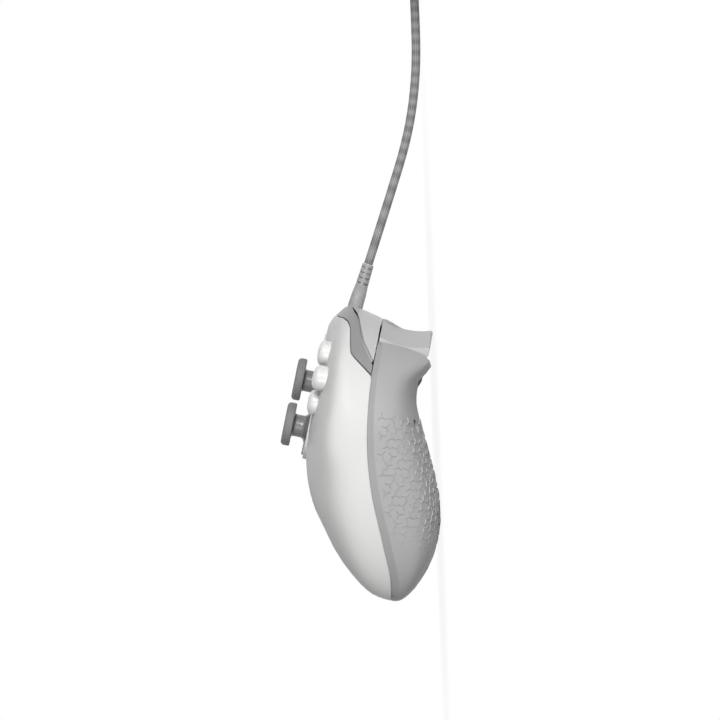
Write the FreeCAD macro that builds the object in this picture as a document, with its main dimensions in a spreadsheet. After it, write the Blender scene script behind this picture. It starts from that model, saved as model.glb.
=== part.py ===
import FreeCAD, Part
import math
import os
import re
from FreeCAD import Placement, Rotation, Vector

# Wired gamepad with offset sticks, in millimetres. It is drawn in its own pad frame: X to the
# player's right, Y away from the player, Z out of the face, with Z 0 on the flat of the face.
# Each piece is then laid down as the pad rests on a table, on the backs of its grips and its
# trigger tips: Z up, Z 0 on the table, and the origin under the middle of the pad.

SIZES = {
    "half_width": 78.0, "top_reach": 46.7, "middle_bottom": -18.5, "grip_bottom": -60.6,
    "grip_line": 57.0, "nose_reach": 3.3, "wall": 2.2, "seam": 0.3, "trigger_seam": -20.1,
    "rest_angle": 13.5, "rest_height": 51.51, "rest_shift": -0.1,
    "left_stick_x": -43.0, "left_stick_y": 16.4, "right_stick_x": 20.0, "right_stick_y": -1.4,
    "stick_pivot": -9.5, "ring_radius": 12.4, "ring_depth": 4.0, "opening_radius": 10.7,
    "cap_radius": 8.6, "cap_under": 6.1, "cap_top": 9.7, "cap_dish": 1.2, "cap_dish_radius": 6.2,
    "stem_radius": 4.4, "dome_radius": 12.0, "dome_wall": 1.0,
    "stick_house_half": 7.0, "stick_house_wall": 1.0, "stick_house_rise": 3.0,
    "shaft_radius": 1.5, "running_gap": 0.05, "yoke_half": 4.7, "yoke_bar": 1.3, "yoke_height": 2.4,
    "trunnion_radius": 0.8, "ball_half": 2.7, "press_travel": 0.5,
    "buttons_x": 43.0, "buttons_y": 19.0, "button_pitch": 9.8, "button_radius": 4.95,
    "button_top": 2.1, "button_gap": 0.25, "button_foot": -10.3, "button_flange": 5.9,
    "button_travel": 1.2, "guide_wall_radius": 6.3, "guide_wall_foot": -6.4, "flange_thickness": 1.3,
    "dpad_x": -20.0, "dpad_y": -1.4, "dpad_span": 23.0, "dpad_arm": 7.6, "dpad_top": 1.0,
    "dpad_gap": 0.75, "dpad_flange": 10.2, "dpad_pivot_z": -8.3,
    "home_y": 30.0, "home_radius": 6.5, "home_top": 0.9, "small_x": 11.0, "small_y": 19.0,
    "small_radius": 2.6, "small_top": 0.6, "share_y": 12.0, "small_foot": -11.1, "small_travel": 0.5,
    "switch_side": 6.0, "switch_top": -11.75,
    "board_top": -15.5, "board_thickness": 1.6, "membrane_thickness": 1.0, "membrane_dome": -11.9,
    "trigger_x": 44.8, "trigger_y": 35.0, "trigger_z": -17.5, "trigger_yaw": 19.0,
    "trigger_width": 21.0, "trigger_wall": 1.8, "trigger_gap": 0.5, "pin_radius": 1.0,
    "pin_gap": 0.05, "hub_radius": 2.3, "trigger_tip": -40.65, "trigger_throw": 18.0,
    "frame_y": 21.0, "frame_depth": 3.6, "frame_top": -19.8, "frame_thickness": 2.8,
    "frame_half": 66.0, "ear_thickness": 1.5, "ear_radius": 1.55,
    "frame_screw_x": 26.0, "bridge_half": 15.6, "bridge_step": 0.6, "bridge_end": 1.2,
    "bumper_start": 16.2, "bumper_gap": 0.2, "bumper_rest_turn": 1.1, "bumper_pin_x": 18.6,
    "bumper_pin_y": 42.4, "bumper_hub": 2.2, "bumper_switch_x": 61.5, "bumper_rest_gap": 0.9,
    "port_y": 48.8, "port_z": -8.6, "port_tilt": 5.7, "plug_width": 8.3, "plug_height": 2.5,
    "socket_wall": 0.35, "port_gap": 0.1, "boot_foot": -0.4, "plug_reach": 6.6,
    "recess_length": 9.0, "recess_room": 0.3, "recess_corner": 2.9,
    "overmold_width": 12.0, "overmold_height": 6.2,
    "overmold_length": 9.2, "relief_length": 9.5, "relief_radius": 2.6, "cable_radius": 1.75,
    "jack_z": -20.0, "jack_radius": 1.75, "jack_length": 13.0, "jack_mouth_y": -18.0,
    "motor_x": 56.0, "motor_y": -15.0, "motor_z": -36.0, "motor_radius": 6.5, "motor_length": 18.0,
    "left_weight_radius": 10.5, "right_weight_radius": 9.0, "weight_length": 8.0,
    "shaft_gap": 0.05, "rotor_radius": 1.0,
    "grip_screw_x": 57.0, "grip_screw_y": -47.0, "side_screw_x": 64.0, "side_screw_y": 8.0,
    "middle_screw_y": 2.0, "screw_radius": 1.2, "screw_head": 2.4, "screw_head_height": 1.6,
    "screw_length": 12.0, "post_radius": 3.2, "board_screw_radius": 0.8, "board_post_radius": 2.5,
    "panel_length": 40.0, "panel_width": 20.0, "panel_z": -34.8, "panel_y": 17.0,
    "coil_x": 26.6, "coil_y": 222.0, "coil_inner": 15.0, "coil_pitch": 3.95, "coil_layer_turns": 3.5,
    "tie_width": 5.0, "tie_thickness": 0.6, "usb_a_length": 20.0, "usb_a_width": 15.0,
    "usb_a_height": 7.6,
}

doc = FreeCAD.newDocument("Gamepad")
sheet = doc.addObject("Spreadsheet::Sheet", "Sizes")
for row, (word, number) in enumerate(SIZES.items(), start=1):
    sheet.set("A%d" % row, word)
    sheet.set("B%d" % row, str(number))
    sheet.setAlias("B%d" % row, word)
doc.recompute()

PIECES = []
WORD = re.compile(r"[a-z][a-z_]+")


def num(word):
    """The number that a cell holds."""
    return float(sheet.get(word))


def formula(text):
    """A formula in plain words, with each word tied to its cell."""
    return WORD.sub(lambda found: "Sizes." * (found.group() in SIZES) + found.group(), str(text))


def bind(thing, **formulas):
    """Ties properties of a thing to formulas."""
    for prop, text in formulas.items():
        thing.setExpression(prop, formula(text))
    return thing


def put(thing, x, y, z, axis=None, angle=0.0):
    """Places a thing at formulas, turned about an axis."""
    if axis:
        thing.Placement = Placement(Vector(), Rotation(Vector(*axis), angle))
    for key, text in (("x", x), ("y", y), ("z", z)):
        thing.setExpression("Placement.Base." + key, formula(text))
    return thing


TURNS = {"z": (None, 0.0), "x": ((0, 1, 0), 90.0), "y": ((1, 0, 0), -90.0)}


def rod(name, radius, length, x, y, z, along="z"):
    """A round bar that starts at x, y, z and runs along one axis."""
    bar = doc.addObject("Part::Cylinder", name)
    bind(bar, Radius=radius, Height=length)
    return put(bar, x, y, z, *TURNS[along])


def cone(name, radius_low, radius_high, length, x, y, z, along="z"):
    """A tapered bar, from its first radius to its second."""
    bar = doc.addObject("Part::Cone", name)
    bind(bar, Radius1=radius_low, Radius2=radius_high, Height=length)
    return put(bar, x, y, z, *TURNS[along])


def ball(name, radius, x, y, z):
    """A full ball about a point."""
    return put(bind(doc.addObject("Part::Sphere", name), Radius=radius), x, y, z)


def block(name, length, width, height, x, y, z):
    """A box whose middle in X and Y is at x, y, and whose foot is at z."""
    box = doc.addObject("Part::Box", name)
    bind(box, Length=length, Width=width, Height=height)
    return put(box, "%s - (%s) / 2" % (x, length), "%s - (%s) / 2" % (y, width), z)


def joined(name, *things):
    """Several things fused to one."""
    fuse = doc.addObject("Part::MultiFuse", name)
    fuse.Shapes = list(things)
    return fuse


def shared(name, *things):
    """What several things have in common."""
    common = doc.addObject("Part::MultiCommon", name)
    common.Shapes = list(things)
    return common


def less(name, base, *tools):
    """A thing with others cut out of it."""
    cut = doc.addObject("Part::Cut", name)
    cut.Base = base
    cut.Tool = tools[0] if len(tools) == 1 else joined(name + "_tools", *tools)
    return cut


def mirrored(name, thing):
    """The same thing for the other hand."""
    other = doc.addObject("Part::Mirroring", name)
    other.Source = thing
    other.Normal = (1, 0, 0)
    return other


def group(name, *things):
    """Separate solids that make one node."""
    bundle = doc.addObject("Part::Compound", name)
    bundle.Links = list(things)
    return bundle


def solid_from(name, shape):
    """A thing whose shape no ready feature makes."""
    thing = doc.addObject("Part::Feature", name)
    thing.Shape = shape
    return thing


def loop_of(points):
    """A closed wire of straight lines."""
    return Part.makePolygon([Vector(*point) for point in points] + [Vector(*points[0])])


def sketch_body(name, plane, edges, length, start=0.0):
    """A body padded from a sketch of edges on one of its own planes."""
    body = doc.addObject("PartDesign::Body", name)
    sketch = body.newObject("Sketcher::SketchObject", name + "_outline")
    support = [item for item in body.Origin.OriginFeatures if item.Role == plane][0]
    sketch.AttachmentSupport = [(support, "")]
    sketch.MapMode = "FlatFace"
    sketch.AttachmentOffset = Placement(Vector(0, 0, start), Rotation())
    for edge in edges:
        sketch.addGeometry(edge, False)
    pad = body.newObject("PartDesign::Pad", name + "_pad")
    pad.Profile = sketch
    pad.setExpression("Length", formula(length))
    return body


def lines_through(points):
    """Closed straight sketch edges through points."""
    ends = points[1:] + points[:1]
    return [Part.LineSegment(Vector(*one, 0), Vector(*two, 0)) for one, two in zip(points, ends)]


LAID = Placement(
    Vector(0, num("rest_height") * math.sin(math.radians(num("rest_angle"))) + num("rest_shift"),
           num("rest_height") * math.cos(math.radians(num("rest_angle")))),
    Rotation(Vector(1, 0, 0), -num("rest_angle")))


def keep(thing, label, where=None):
    """Marks a thing as a piece of the pad, and lays it down with the rest."""
    if thing.TypeId in ("Part::Cylinder", "Part::Box"):
        thing = group(label + "_whole", thing)
    thing.Label = label
    PIECES.append((thing, LAID * where if where else LAID))
    return thing


def keep_where_it_is(thing, label):
    """Marks a thing as a piece that is already where it lies."""
    thing.Label = label
    PIECES.append((thing, Placement()))
    return thing


# The form: at each station across the pad one section, a front curve and a rear curve that meet on
# the parting line. The heights along the pad come from a few knots, read as smooth curves.
PARTING = [(50, -20.5), (24, -20.5), (0, -23.4), (-20, -29.1), (-40, -37.9), (-52, -43.1), (-61, -45.3)]
FRONT = [(50, 0.5), (37, 0.4), (22, 0.0), (-5, 0.0), (-18, -1.0), (-31, -4.8), (-41, -10.3), (-49, -15.6),
         (-60, -26)]
REAR_MIDDLE = [(50, -33), (20, -36), (0, -36), (-20, -33)]
REAR_GRIP = [(45, -51), (33.5, -50.2), (29.5, -45.6), (25, -40.8), (19, -39.8), (9, -43.5), (-9, -52.2),
             (-23, -57.8), (-40, -60), (-52, -57.5), (-60, -54)]
END_TURN = 89.0
SIDE_TOP = -2.0
SIDE_BOTTOM = -14.0


def smooth(share):
    """Eases from 0 to 1."""
    share = min(1.0, max(0.0, share))
    return share * share * (3 - 2 * share)


def swell(share, fullness):
    """A rise from 0 to 1 that is steeper at its foot, the more so the fuller it is."""
    return (1 + fullness) * share / (1 + fullness * share)


def height_at(knots, y):
    """A smooth curve through knots, straight beyond its ends."""
    knots = sorted(knots)
    slopes = []
    for place in range(len(knots)):
        low = knots[max(place - 1, 0)]
        high = knots[min(place + 1, len(knots) - 1)]
        slopes.append((high[1] - low[1]) / (high[0] - low[0]))
    if y <= knots[0][0]:
        return knots[0][1] + (y - knots[0][0]) * slopes[0]
    if y >= knots[-1][0]:
        return knots[-1][1] + (y - knots[-1][0]) * slopes[-1]
    place = max(index for index in range(len(knots) - 1) if knots[index][0] <= y)
    (y_low, z_low), (y_high, z_high) = knots[place], knots[place + 1]
    span = y_high - y_low
    part = (y - y_low) / span
    return ((2 * part ** 3 - 3 * part ** 2 + 1) * z_low + (part ** 3 - 2 * part ** 2 + part) * span
            * slopes[place] + (3 * part ** 2 - 2 * part ** 3) * z_high
            + (part ** 3 - part ** 2) * span * slopes[place + 1])


def edge_top(x, inset):
    """How far the pad reaches away from the player at a station."""
    reach = max(0.0, 1 - (max(0.0, abs(x) - 20) / (num("half_width") - inset - 20)) ** 2.4)
    return SIDE_TOP + (num("top_reach") - inset - SIDE_TOP) * math.sqrt(reach)


def edge_bottom(x, inset):
    """How far the pad reaches towards the player at a station."""
    x = abs(x)
    deep = num("grip_bottom") + inset
    line = num("grip_line")
    if x < line:
        middle = num("middle_bottom") + inset
        return middle + (deep - num("middle_bottom") - inset) * smooth((x - 22 - inset) / 34)
    reach = max(0.0, 1 - ((x - line) / (num("half_width") - inset - line)) ** 2)
    return SIDE_BOTTOM + (deep - SIDE_BOTTOM) * math.sqrt(reach)


def section_point(x, angle, inset, front):
    """A point of a section: angle 0 is its far end, 180 degrees its near end."""
    reach = math.sqrt(max(0.0, 1 - (x / (num("half_width") - inset)) ** 2))
    top, bottom = edge_top(x, inset), edge_bottom(x, inset)
    along, up = math.cos(angle), math.sin(angle)
    y = (top + bottom) / 2 + (top - bottom) / 2 * along
    middle = height_at(PARTING, y)
    if front:
        rise = height_at(FRONT, y) - inset - middle
        near = 2.2 + 12 * (1 - smooth((abs(x) - 26) / 22))
        far = swell(up, 6.0) + 0.19 * smooth((up - 0.38) / 0.2) * (1 - up) * (1 - smooth((abs(x) - 24) / 20))
        side = swell(reach, 2 + 3 * smooth((y + 20) / 20))
        z = middle + rise * side * (far if along > 0 else swell(up, near))
        z -= 1.8 * max(0.0, (abs(x) - 25) / 30) ** 2 * up * reach
        if along > 0 and up < 0.55:
            nose = math.sin(math.pi * (up / 0.55) ** 0.8)
            y += num("nose_reach") * nose * (1 - 0.6 * smooth((abs(x) - 20) / 40))
        return Vector(x, y, z)
    grip = smooth((abs(x) - 18) / 34)
    drop = (1 - grip) * height_at(REAR_MIDDLE, y) + grip * height_at(REAR_GRIP, y) + inset - middle
    fill = swell(reach, 3.0) / swell(math.sqrt(1 - (50.0 / 78.0) ** 2), 3.0) ** grip
    if along > 0:
        lip = smooth((up - 0.04) / 0.1) * (1 - smooth((up - 0.2) / 0.3))
        y -= 1.7 * lip * (1 - smooth((abs(x) - 30) / 14))
    return Vector(x, y, middle + drop * min(1.02, fill) * swell(up, 3.0 if along > 0 else 2.2))


def form(inset, stations, steps):
    """The whole pad, drawn in from its skin by an inset, as small flat facets between its sections."""
    width = num("half_width") - inset
    angles = [math.pi / 2 * (1 - math.cos(math.pi * step / steps)) for step in range(steps + 1)]
    rows = []
    for turn in range(-stations, stations + 1):
        x = width * math.sin(math.radians(END_TURN * turn / stations))
        row = [section_point(x, angle, inset, True) for angle in angles]
        rows.append(row + [section_point(x, angle, inset, False) for angle in angles[-2:0:-1]])
    faces = [Part.Face(Part.makePolygon(end + end[:1])) for end in (rows[0], rows[-1])]
    for row, after in zip(rows, rows[1:]):
        for place in range(len(row)):
            following = (place + 1) % len(row)
            corners = (row[place], row[following], after[following], after[place])
            for triple in ((0, 1, 2), (0, 2, 3)):
                triangle = [corners[index] for index in triple]
                faces.append(Part.Face(Part.makePolygon(triangle + triangle[:1])))
    shell = Part.makeShell(faces)
    shell.sewShape()
    solid = Part.makeSolid(shell)
    if solid.Volume < 0:
        solid.reverse()
    return solid


# The seams, as lines in the side view that run straight across the pad.
TRIM_FRONT = [(23.9, -20.1), (30.4, -11.0), (32.4, -10.2), (40.3, -8.7), (42.6, -7.4), (43.9, -5.2),
              (44.0, -3.0), (46.0, 4.0)]
TRIM_REAR = [(27.9, -20.1), (28.9, -19.4), (35.9, -14.4), (40.3, -12.7), (45.8, -10.4), (49.1, -7.0),
             (60.0, -7.0)]
FAR = 90.0


def shifted(points, y, z):
    """Points moved sideways, for the gap at a seam."""
    return [(point[0] + y, point[1] + z) for point in points]


def parting_curve(lift):
    """The long seam between face and back, moved by half its gap."""
    curve = Part.BSplineCurve()
    stops = (23.9, 12, 0, -10, -20, -30, -40, -52, -61, -75)
    curve.interpolate([Vector(-FAR, y, height_at(PARTING, y) + lift) for y in stops])
    return curve.toShape()


def slab(name, edges_or_points, x_from=-FAR, x_to=FAR):
    """A region of the side view, taken straight across the pad."""
    wire = loop_of([(x_from, y, z) for y, z in edges_or_points])
    return solid_from(name, Part.Face(wire).extrude(Vector(x_to - x_from, 0, 0)))


def seamed_slab(name, lift, rest):
    """A region with the long seam on one side."""
    seam = parting_curve(lift)
    start, end = seam.valueAt(seam.FirstParameter), seam.valueAt(seam.LastParameter)
    corners = [Vector(end)] + [Vector(-FAR, y, z) for y, z in rest] + [Vector(start)]
    wire = Part.Wire([seam] + Part.makePolygon(corners).Edges)
    return solid_from(name, Part.Face(wire).extrude(Vector(2 * FAR, 0, 0)))


half = num("seam") / 2
outer_form = solid_from("outer_form", form(0.0, 15, 14))
middle_form = solid_from("middle_form", form(num("wall") / 2, 10, 10))
inner_form = solid_from("inner_form", form(num("wall"), 10, 10))
hollow = less("hollow", outer_form, inner_form)
front_edge = shifted(TRIM_FRONT, -half, half)
face_region = seamed_slab("face_region", half, [(-75, 30), (60, 30)] + front_edge[::-1])
back_region = seamed_slab("back_region", -half, [(-75, -80), (60, -80), (60, num("trigger_seam") - half),
                                                 (23.9, num("trigger_seam") - half)])
trim_region = slab("trim_region", shifted(TRIM_FRONT, half, -half)[1:] + [(60.0, 4.0)]
                   + shifted(TRIM_REAR, -half, half)[::-1][:-1]
                   + [(27.9, num("trigger_seam") + half), (24.4, num("trigger_seam") + half)])
bridge_lift = num("bridge_step")
bridge_points = (shifted(TRIM_REAR, half - bridge_lift, bridge_lift - half)[1:]
                 + [(60.0, num("trigger_seam") + half), (28.6 - bridge_lift, num("trigger_seam") + half)])
bridge_region = slab("bridge_region", bridge_points, -num("bridge_half"), num("bridge_half"))
bridge_room = slab("bridge_room", shifted(TRIM_REAR, -half - bridge_lift, bridge_lift + half)[1:]
                   + [(60.0, num("trigger_seam") - 5),
                      (28.6 - bridge_lift - num("seam"), num("trigger_seam") - 5)],
                   -num("bridge_half") - num("seam"), num("bridge_half") + num("seam"))
bumper_gap = num("bumper_gap")
bumper_region = slab("bumper_region", shifted(TRIM_REAR, bumper_gap, -bumper_gap)[1:]
                     + [(60.0, num("trigger_seam") + half), (29.2, num("trigger_seam") + half)],
                     num("bumper_start"), FAR)
bumper_region.Placement = Placement(Vector(), Rotation(Vector(0, 0, 1), num("bumper_rest_turn")),
                                    Vector(num("bumper_pin_x"), num("bumper_pin_y"), 0))

# Face shell: its wall, the rings round the sticks, guide walls for the buttons and screw bosses.
BUTTONS = {"north_button": (0, 1), "east_button": (1, 0), "south_button": (0, -1), "west_button": (-1, 0)}
SMALL = {"view_button": ("-small_x", "small_y", "small_radius", "small_top"),
         "menu_button": ("small_x", "small_y", "small_radius", "small_top"),
         "share_button": ("0", "share_y", "small_radius", "small_top"),
         "guide_button": ("0", "home_y", "home_radius", "home_top")}
STICKS = {"left": ("left_stick_x", "left_stick_y"), "right": ("right_stick_x", "right_stick_y")}
BOARD_SCREWS = [(-27.0, 19.5), (26.0, 13.5), (-38.5, -5.0), (38.5, -5.0)]
HOUSE_SCREWS = [("grip_screw_x", "grip_screw_y", -46.0), ("-grip_screw_x", "grip_screw_y", -46.0),
                ("side_screw_x", "side_screw_y", -30.0), ("-side_screw_x", "side_screw_y", -30.0),
                ("0", "middle_screw_y", -30.0)]


def button_place(way):
    """Where one of the four buttons stands."""
    return ("buttons_x + %d * button_pitch" % way[0], "buttons_y + %d * button_pitch" % way[1])


def shell_post(name, x, y, radius, low, high):
    """A post between two heights, which runs into the shell wall."""
    return rod(name, radius, "%s - (%s)" % (high, low), x, y, low)


def face_shell():
    """The white front half."""
    adds = []
    holes = []
    for side, (x, y) in STICKS.items():
        adds.append(rod(side + "_ring", "ring_radius", "ring_depth - 0.8", x, y, "-ring_depth"))
        adds.append(cone(side + "_ring_lip", "ring_radius", "ring_radius - 0.7", "0.8", x, y, "-0.8"))
        holes.append(rod(side + "_opening", "opening_radius", "20", x, y, "-10"))
        holes.append(ball(side + "_sweep", "dome_radius + 0.6", x, y, "stick_pivot"))
    inner = []
    for name, way in BUTTONS.items():
        x, y = button_place(way)
        inner.append(shell_post(name + "_wall", x, y, "guide_wall_radius", "guide_wall_foot", "4"))
        holes.append(rod(name + "_hole", "button_radius + button_gap", "30", x, y, "-20"))
    for name, (x, y, radius, top) in SMALL.items():
        inner.append(shell_post(name + "_wall", x, y, radius + " + 1.3", "guide_wall_foot + 1.5", "4"))
        holes.append(rod(name + "_hole", radius + " + button_gap", "30", x, y, "-20"))
    for index, (x, y) in enumerate(BOARD_SCREWS):
        inner.append(shell_post("board_boss_%d" % index, x, y, "board_post_radius", "board_top", "4"))
        holes.append(rod("board_pilot_%d" % index, "board_screw_radius + 0.02", "6.5", x, y,
                         "board_top - 0.5"))
    for index, (x, y, seat) in enumerate(HOUSE_SCREWS):
        low = seat + 3.0
        inner.append(shell_post("house_boss_%d" % index, x, y, "post_radius - 0.2", str(low), "4"))
        holes.append(rod("house_pilot_%d" % index, "screw_radius + 0.02", "screw_length", x, y,
                         str(low - 1.5)))
    bosses = shared("face_bosses_cut", joined("face_bosses", *inner), middle_form, face_region)
    wall = shared("face_wall", hollow, face_region)
    arm = "dpad_arm + 2 * dpad_gap"
    span = "dpad_span + 2 * dpad_gap"
    holes.append(block("dpad_slot_x", span, arm, "30", "dpad_x", "dpad_y", "-20"))
    holes.append(block("dpad_slot_y", arm, span, "30", "dpad_x", "dpad_y", "-20"))
    holes.append(rod("jack_hole", "3.1", "8", "0", "jack_mouth_y - 3", "jack_z", "y"))
    return keep(less("front_faceplate_solid", joined("face_blank", wall, bosses, *adds), *holes),
                "front_faceplate")


def back_shell():
    """The grey back half, with its screw posts, motor cradles and trigger slots."""
    posts = []
    holes = []
    for index, (x, y, seat) in enumerate(HOUSE_SCREWS):
        posts.append(shell_post("house_post_%d" % index, x, y, "post_radius", "-70", str(seat + 2.7)))
        holes.append(rod("house_well_%d" % index, "screw_head + 0.2", "40", x, y, str(seat - 40)))
        holes.append(rod("house_way_%d" % index, "screw_radius + 0.2", "6", x, y, str(seat - 1)))
    for side in (-1, 1):
        posts.append(shell_post("frame_post_%d" % side, "%d * frame_screw_x" % side,
                                "frame_y + frame_depth / 2", "post_radius", "-70",
                                "frame_top - frame_thickness"))
        holes.append(rod("frame_pilot_%d" % side, "board_screw_radius + 0.02", "6", "%d * frame_screw_x" % side,
                         "frame_y + frame_depth / 2", "frame_top - frame_thickness - 5"))
        for place, start in (("near", "motor_y - 14"), ("far", "motor_y - 5")):
            cradle = block("cradle_%s_%d" % (place, side), "2 * motor_radius + 3", "1.8", "30",
                           "%d * motor_x" % side, start, "-66")
            bore = rod("cradle_bore_%s_%d" % (place, side), "motor_radius + 0.1", "10", "%d * motor_x" % side,
                       start + " - 5", "motor_z", "y")
            posts.append(less("cradle_cut_%s_%d" % (place, side), cradle, bore))
        slot = doc.addObject("Part::Box", "trigger_slot_%d" % side)
        bind(slot, Length="trigger_width + 2 * trigger_gap", Width="33.4", Height="60")
        corner = Vector(-num("trigger_width") / 2 - num("trigger_gap"), -8.4, num("trigger_seam") - half - 60)
        slot.Placement = trigger_spot(side) * Placement(corner, Rotation())
        holes.append(slot)
    cradles = shared("back_posts_cut", joined("back_posts", *posts), middle_form, back_region)
    wall = shared("back_wall", hollow, back_region)
    panel = block("panel_recess", "panel_length", "panel_width", "10", "0", "panel_y", "panel_z - 10")
    backing = block("panel_backing", "panel_length + 5", "panel_width + 5", "4", "0", "panel_y", "panel_z - 0.5")
    pad = shared("panel_pad", backing, middle_form, back_region)
    holes.append(panel)
    return keep(less("rear_shell_solid", joined("back_blank", wall, cradles, pad), *holes), "rear_shell")


def trigger_spot(side):
    """The trigger's own frame: X along its pin, Y out through its face."""
    return Placement(Vector(side * num("trigger_x"), num("trigger_y"), 0),
                     Rotation(Vector(0, 0, 1), -side * num("trigger_yaw")))


def port_spot():
    """The cable port's own frame: Y out along the cable."""
    return Placement(Vector(0, num("port_y"), num("port_z")), Rotation(Vector(1, 0, 0), -num("port_tilt")))


def rounded_outline(width, height, corner):
    """Sketch edges of a rectangle with round corners."""
    x, y = width / 2, height / 2
    edges = []
    for turn, (cx, cy) in enumerate(((x - corner, y - corner), (corner - x, y - corner),
                                     (corner - x, corner - y), (x - corner, corner - y))):
        circle = Part.Circle(Vector(cx, cy, 0), Vector(0, 0, 1), corner)
        edges.append(Part.ArcOfCircle(circle, turn * math.pi / 2, (turn + 1) * math.pi / 2))
    edges.append(Part.LineSegment(Vector(x - corner, y, 0), Vector(corner - x, y, 0)))
    edges.append(Part.LineSegment(Vector(-x, y - corner, 0), Vector(-x, corner - y, 0)))
    edges.append(Part.LineSegment(Vector(corner - x, -y, 0), Vector(x - corner, -y, 0)))
    edges.append(Part.LineSegment(Vector(x, corner - y, 0), Vector(x, y - corner, 0)))
    return edges


def shoulders():
    """The trim band, the bridge with the cable port, and the two bumpers on their pins."""
    port = port_spot()
    opening = doc.addObject("Part::Box", "port_opening")
    bind(opening, Length="plug_width + 2 * socket_wall + 0.8", Width="12",
         Height="plug_height + 2 * socket_wall + 0.8")
    opening.Placement = port * Placement(Vector(-num("plug_width") / 2 - num("socket_wall") - 0.4, -8.0,
                                                -num("plug_height") / 2 - num("socket_wall") - 0.4), Rotation())
    room = 2 * num("recess_room")
    recess = sketch_body("port_recess", "XZ_Plane", rounded_outline(
        num("overmold_width") + room, num("overmold_height") + room, num("recess_corner")), "recess_length")
    recess.Placement = port * Placement(Vector(0, num("recess_length") + num("boot_foot") - 0.4, 0), Rotation())
    trim = shared("trim_wall", hollow, trim_region)
    keep(less("top_trim_solid", trim, opening, recess, bridge_room), "top_trim")
    bridge = shared("bridge_wall", hollow, bridge_region)
    ribs = []
    for side in (-1, 1):
        outer_end = side * num("bridge_half")
        inner_end = outer_end - side * num("bridge_end")
        end = slab("bridge_end_%d" % side, bridge_points, *sorted((inner_end, outer_end)))
        ribs.append(shared("bridge_end_wall_%d" % side, end, middle_form))
    for side in (-1, 1):
        rib = doc.addObject("Part::Box", "bridge_rib_%d" % side)
        bind(rib, Length="1.5", Width="9.5", Height="1.6")
        rib.Placement = port * Placement(Vector(side * 5.0 - 0.75, -10.6, -4.75), Rotation())
        ribs.append(rib)
    keep(less("top_bridge_solid", joined("bridge_blank", bridge, *ribs), opening, recess), "top_bridge")
    wall = shared("bumper_wall", hollow, bumper_region)
    hub = rod("bumper_hub_rod", "bumper_hub", "5.6", "bumper_pin_x", "bumper_pin_y", "-19.3")
    arm = block("bumper_arm", "2.4", "4", "5.6", "bumper_pin_x", "bumper_pin_y + 2.6", "-19.3")
    face = "frame_y + 4 + bumper_rest_gap + 0.15"
    nub = block("bumper_nub", "2", "4", "3", "bumper_switch_x", face + " + 2", "-19.6")
    nub_block = block("bumper_nub_block", "2", "5", "3", "bumper_switch_x", face + " + 5.5", "-19.6")
    root = shared("bumper_nub_root", nub_block, bumper_region)
    bits = shared("bumper_bits", joined("bumper_adds", arm, nub, root), middle_form)
    blank = joined("bumper_blank", wall, hub, bits)
    right = less("right_bumper_solid", blank, rod("bumper_bore", "pin_radius + pin_gap", "12", "bumper_pin_x",
                                                  "bumper_pin_y", "-22"))
    keep(right, "right_bumper")
    keep_where_it_is(mirrored("left_bumper_solid", right), "left_bumper")
    pins = [rod("bumper_pin_%d" % side, "pin_radius", "7.8", "%d * bumper_pin_x" % side, "bumper_pin_y",
                "frame_top") for side in (-1, 1)]
    keep(group("bumper_pins_group", *pins), "bumper_pins")


def trigger_profile():
    """The side of a trigger in its own frame: hollow face, tip, and a back that clears the shell."""
    face = Part.BSplineCurve()
    face.interpolate([Vector(y, z, 0) for y, z in ((8.1, -20.6), (7.1, -23.6), (6.35, -27.5), (6.2, -32),
                                                   (6.8, -36.5), (7.8, -39.9))])
    tip = num("trigger_tip")
    corners = [(7.8, -39.9), (7.0, tip), (4.6, tip), (-1.6, -37.5), (-3.2, -30), (-3.2, -21.5), (-2.3, -17.5),
               (-1.2, -15.6), (1.2, -15.6), (1.9, -17.5), (2.2, -20.6), (8.1, -20.6)]
    lines = [Part.LineSegment(Vector(*one, 0), Vector(*two, 0)) for one, two in zip(corners, corners[1:])]
    return [face] + lines


def triggers():
    """A hollow trigger on its pin, with its return spring, for each hand."""
    width = num("trigger_width")
    blank = sketch_body("trigger_blank", "YZ_Plane", trigger_profile(), "trigger_width", -width / 2)
    slope = solid_from("trigger_inside_slope", Part.Face(loop_of(
        [(1.8 - width / 2, -4, -40), (1.8 - width / 2, 2.8, -38.6), (1.8 - width / 2, 3.4, -30),
         (1.8 - width / 2, 5.2, -22.6), (1.8 - width / 2, -4, -22.6)])).extrude(Vector(width - 3.6, 0, 0)))
    upper = block("trigger_upper_gap", "trigger_width - 2 * trigger_wall", "9", "8", "0", "-1", "-22.8")
    hub = rod("trigger_hub", "hub_radius", "7.5", "1.8 - trigger_width / 2 - 0.5", "0", "trigger_z", "x")
    bore = rod("trigger_bore", "pin_radius + pin_gap", "40", "-20", "0", "trigger_z", "x")
    web = joined("trigger_solid_blank", less("trigger_cup", blank, slope, upper), hub)
    right = less("right_trigger_solid", web, bore)
    keep(right, "right_trigger", trigger_spot(1))
    keep_where_it_is(mirrored("left_trigger_solid", right), "left_trigger")
    for side, word in ((1, "right"), (-1, "left")):
        pin = rod(word + "_pin_rod", "pin_radius", "trigger_width + 2 * trigger_gap + 2 * ear_thickness",
                  "-trigger_width / 2 - trigger_gap - ear_thickness", "0", "trigger_z", "x")
        keep(pin, word + "_trigger_pin", trigger_spot(side))
        keep(torsion_spring(word + "_spring_wire", side), word + "_trigger_spring", trigger_spot(side))


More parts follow.
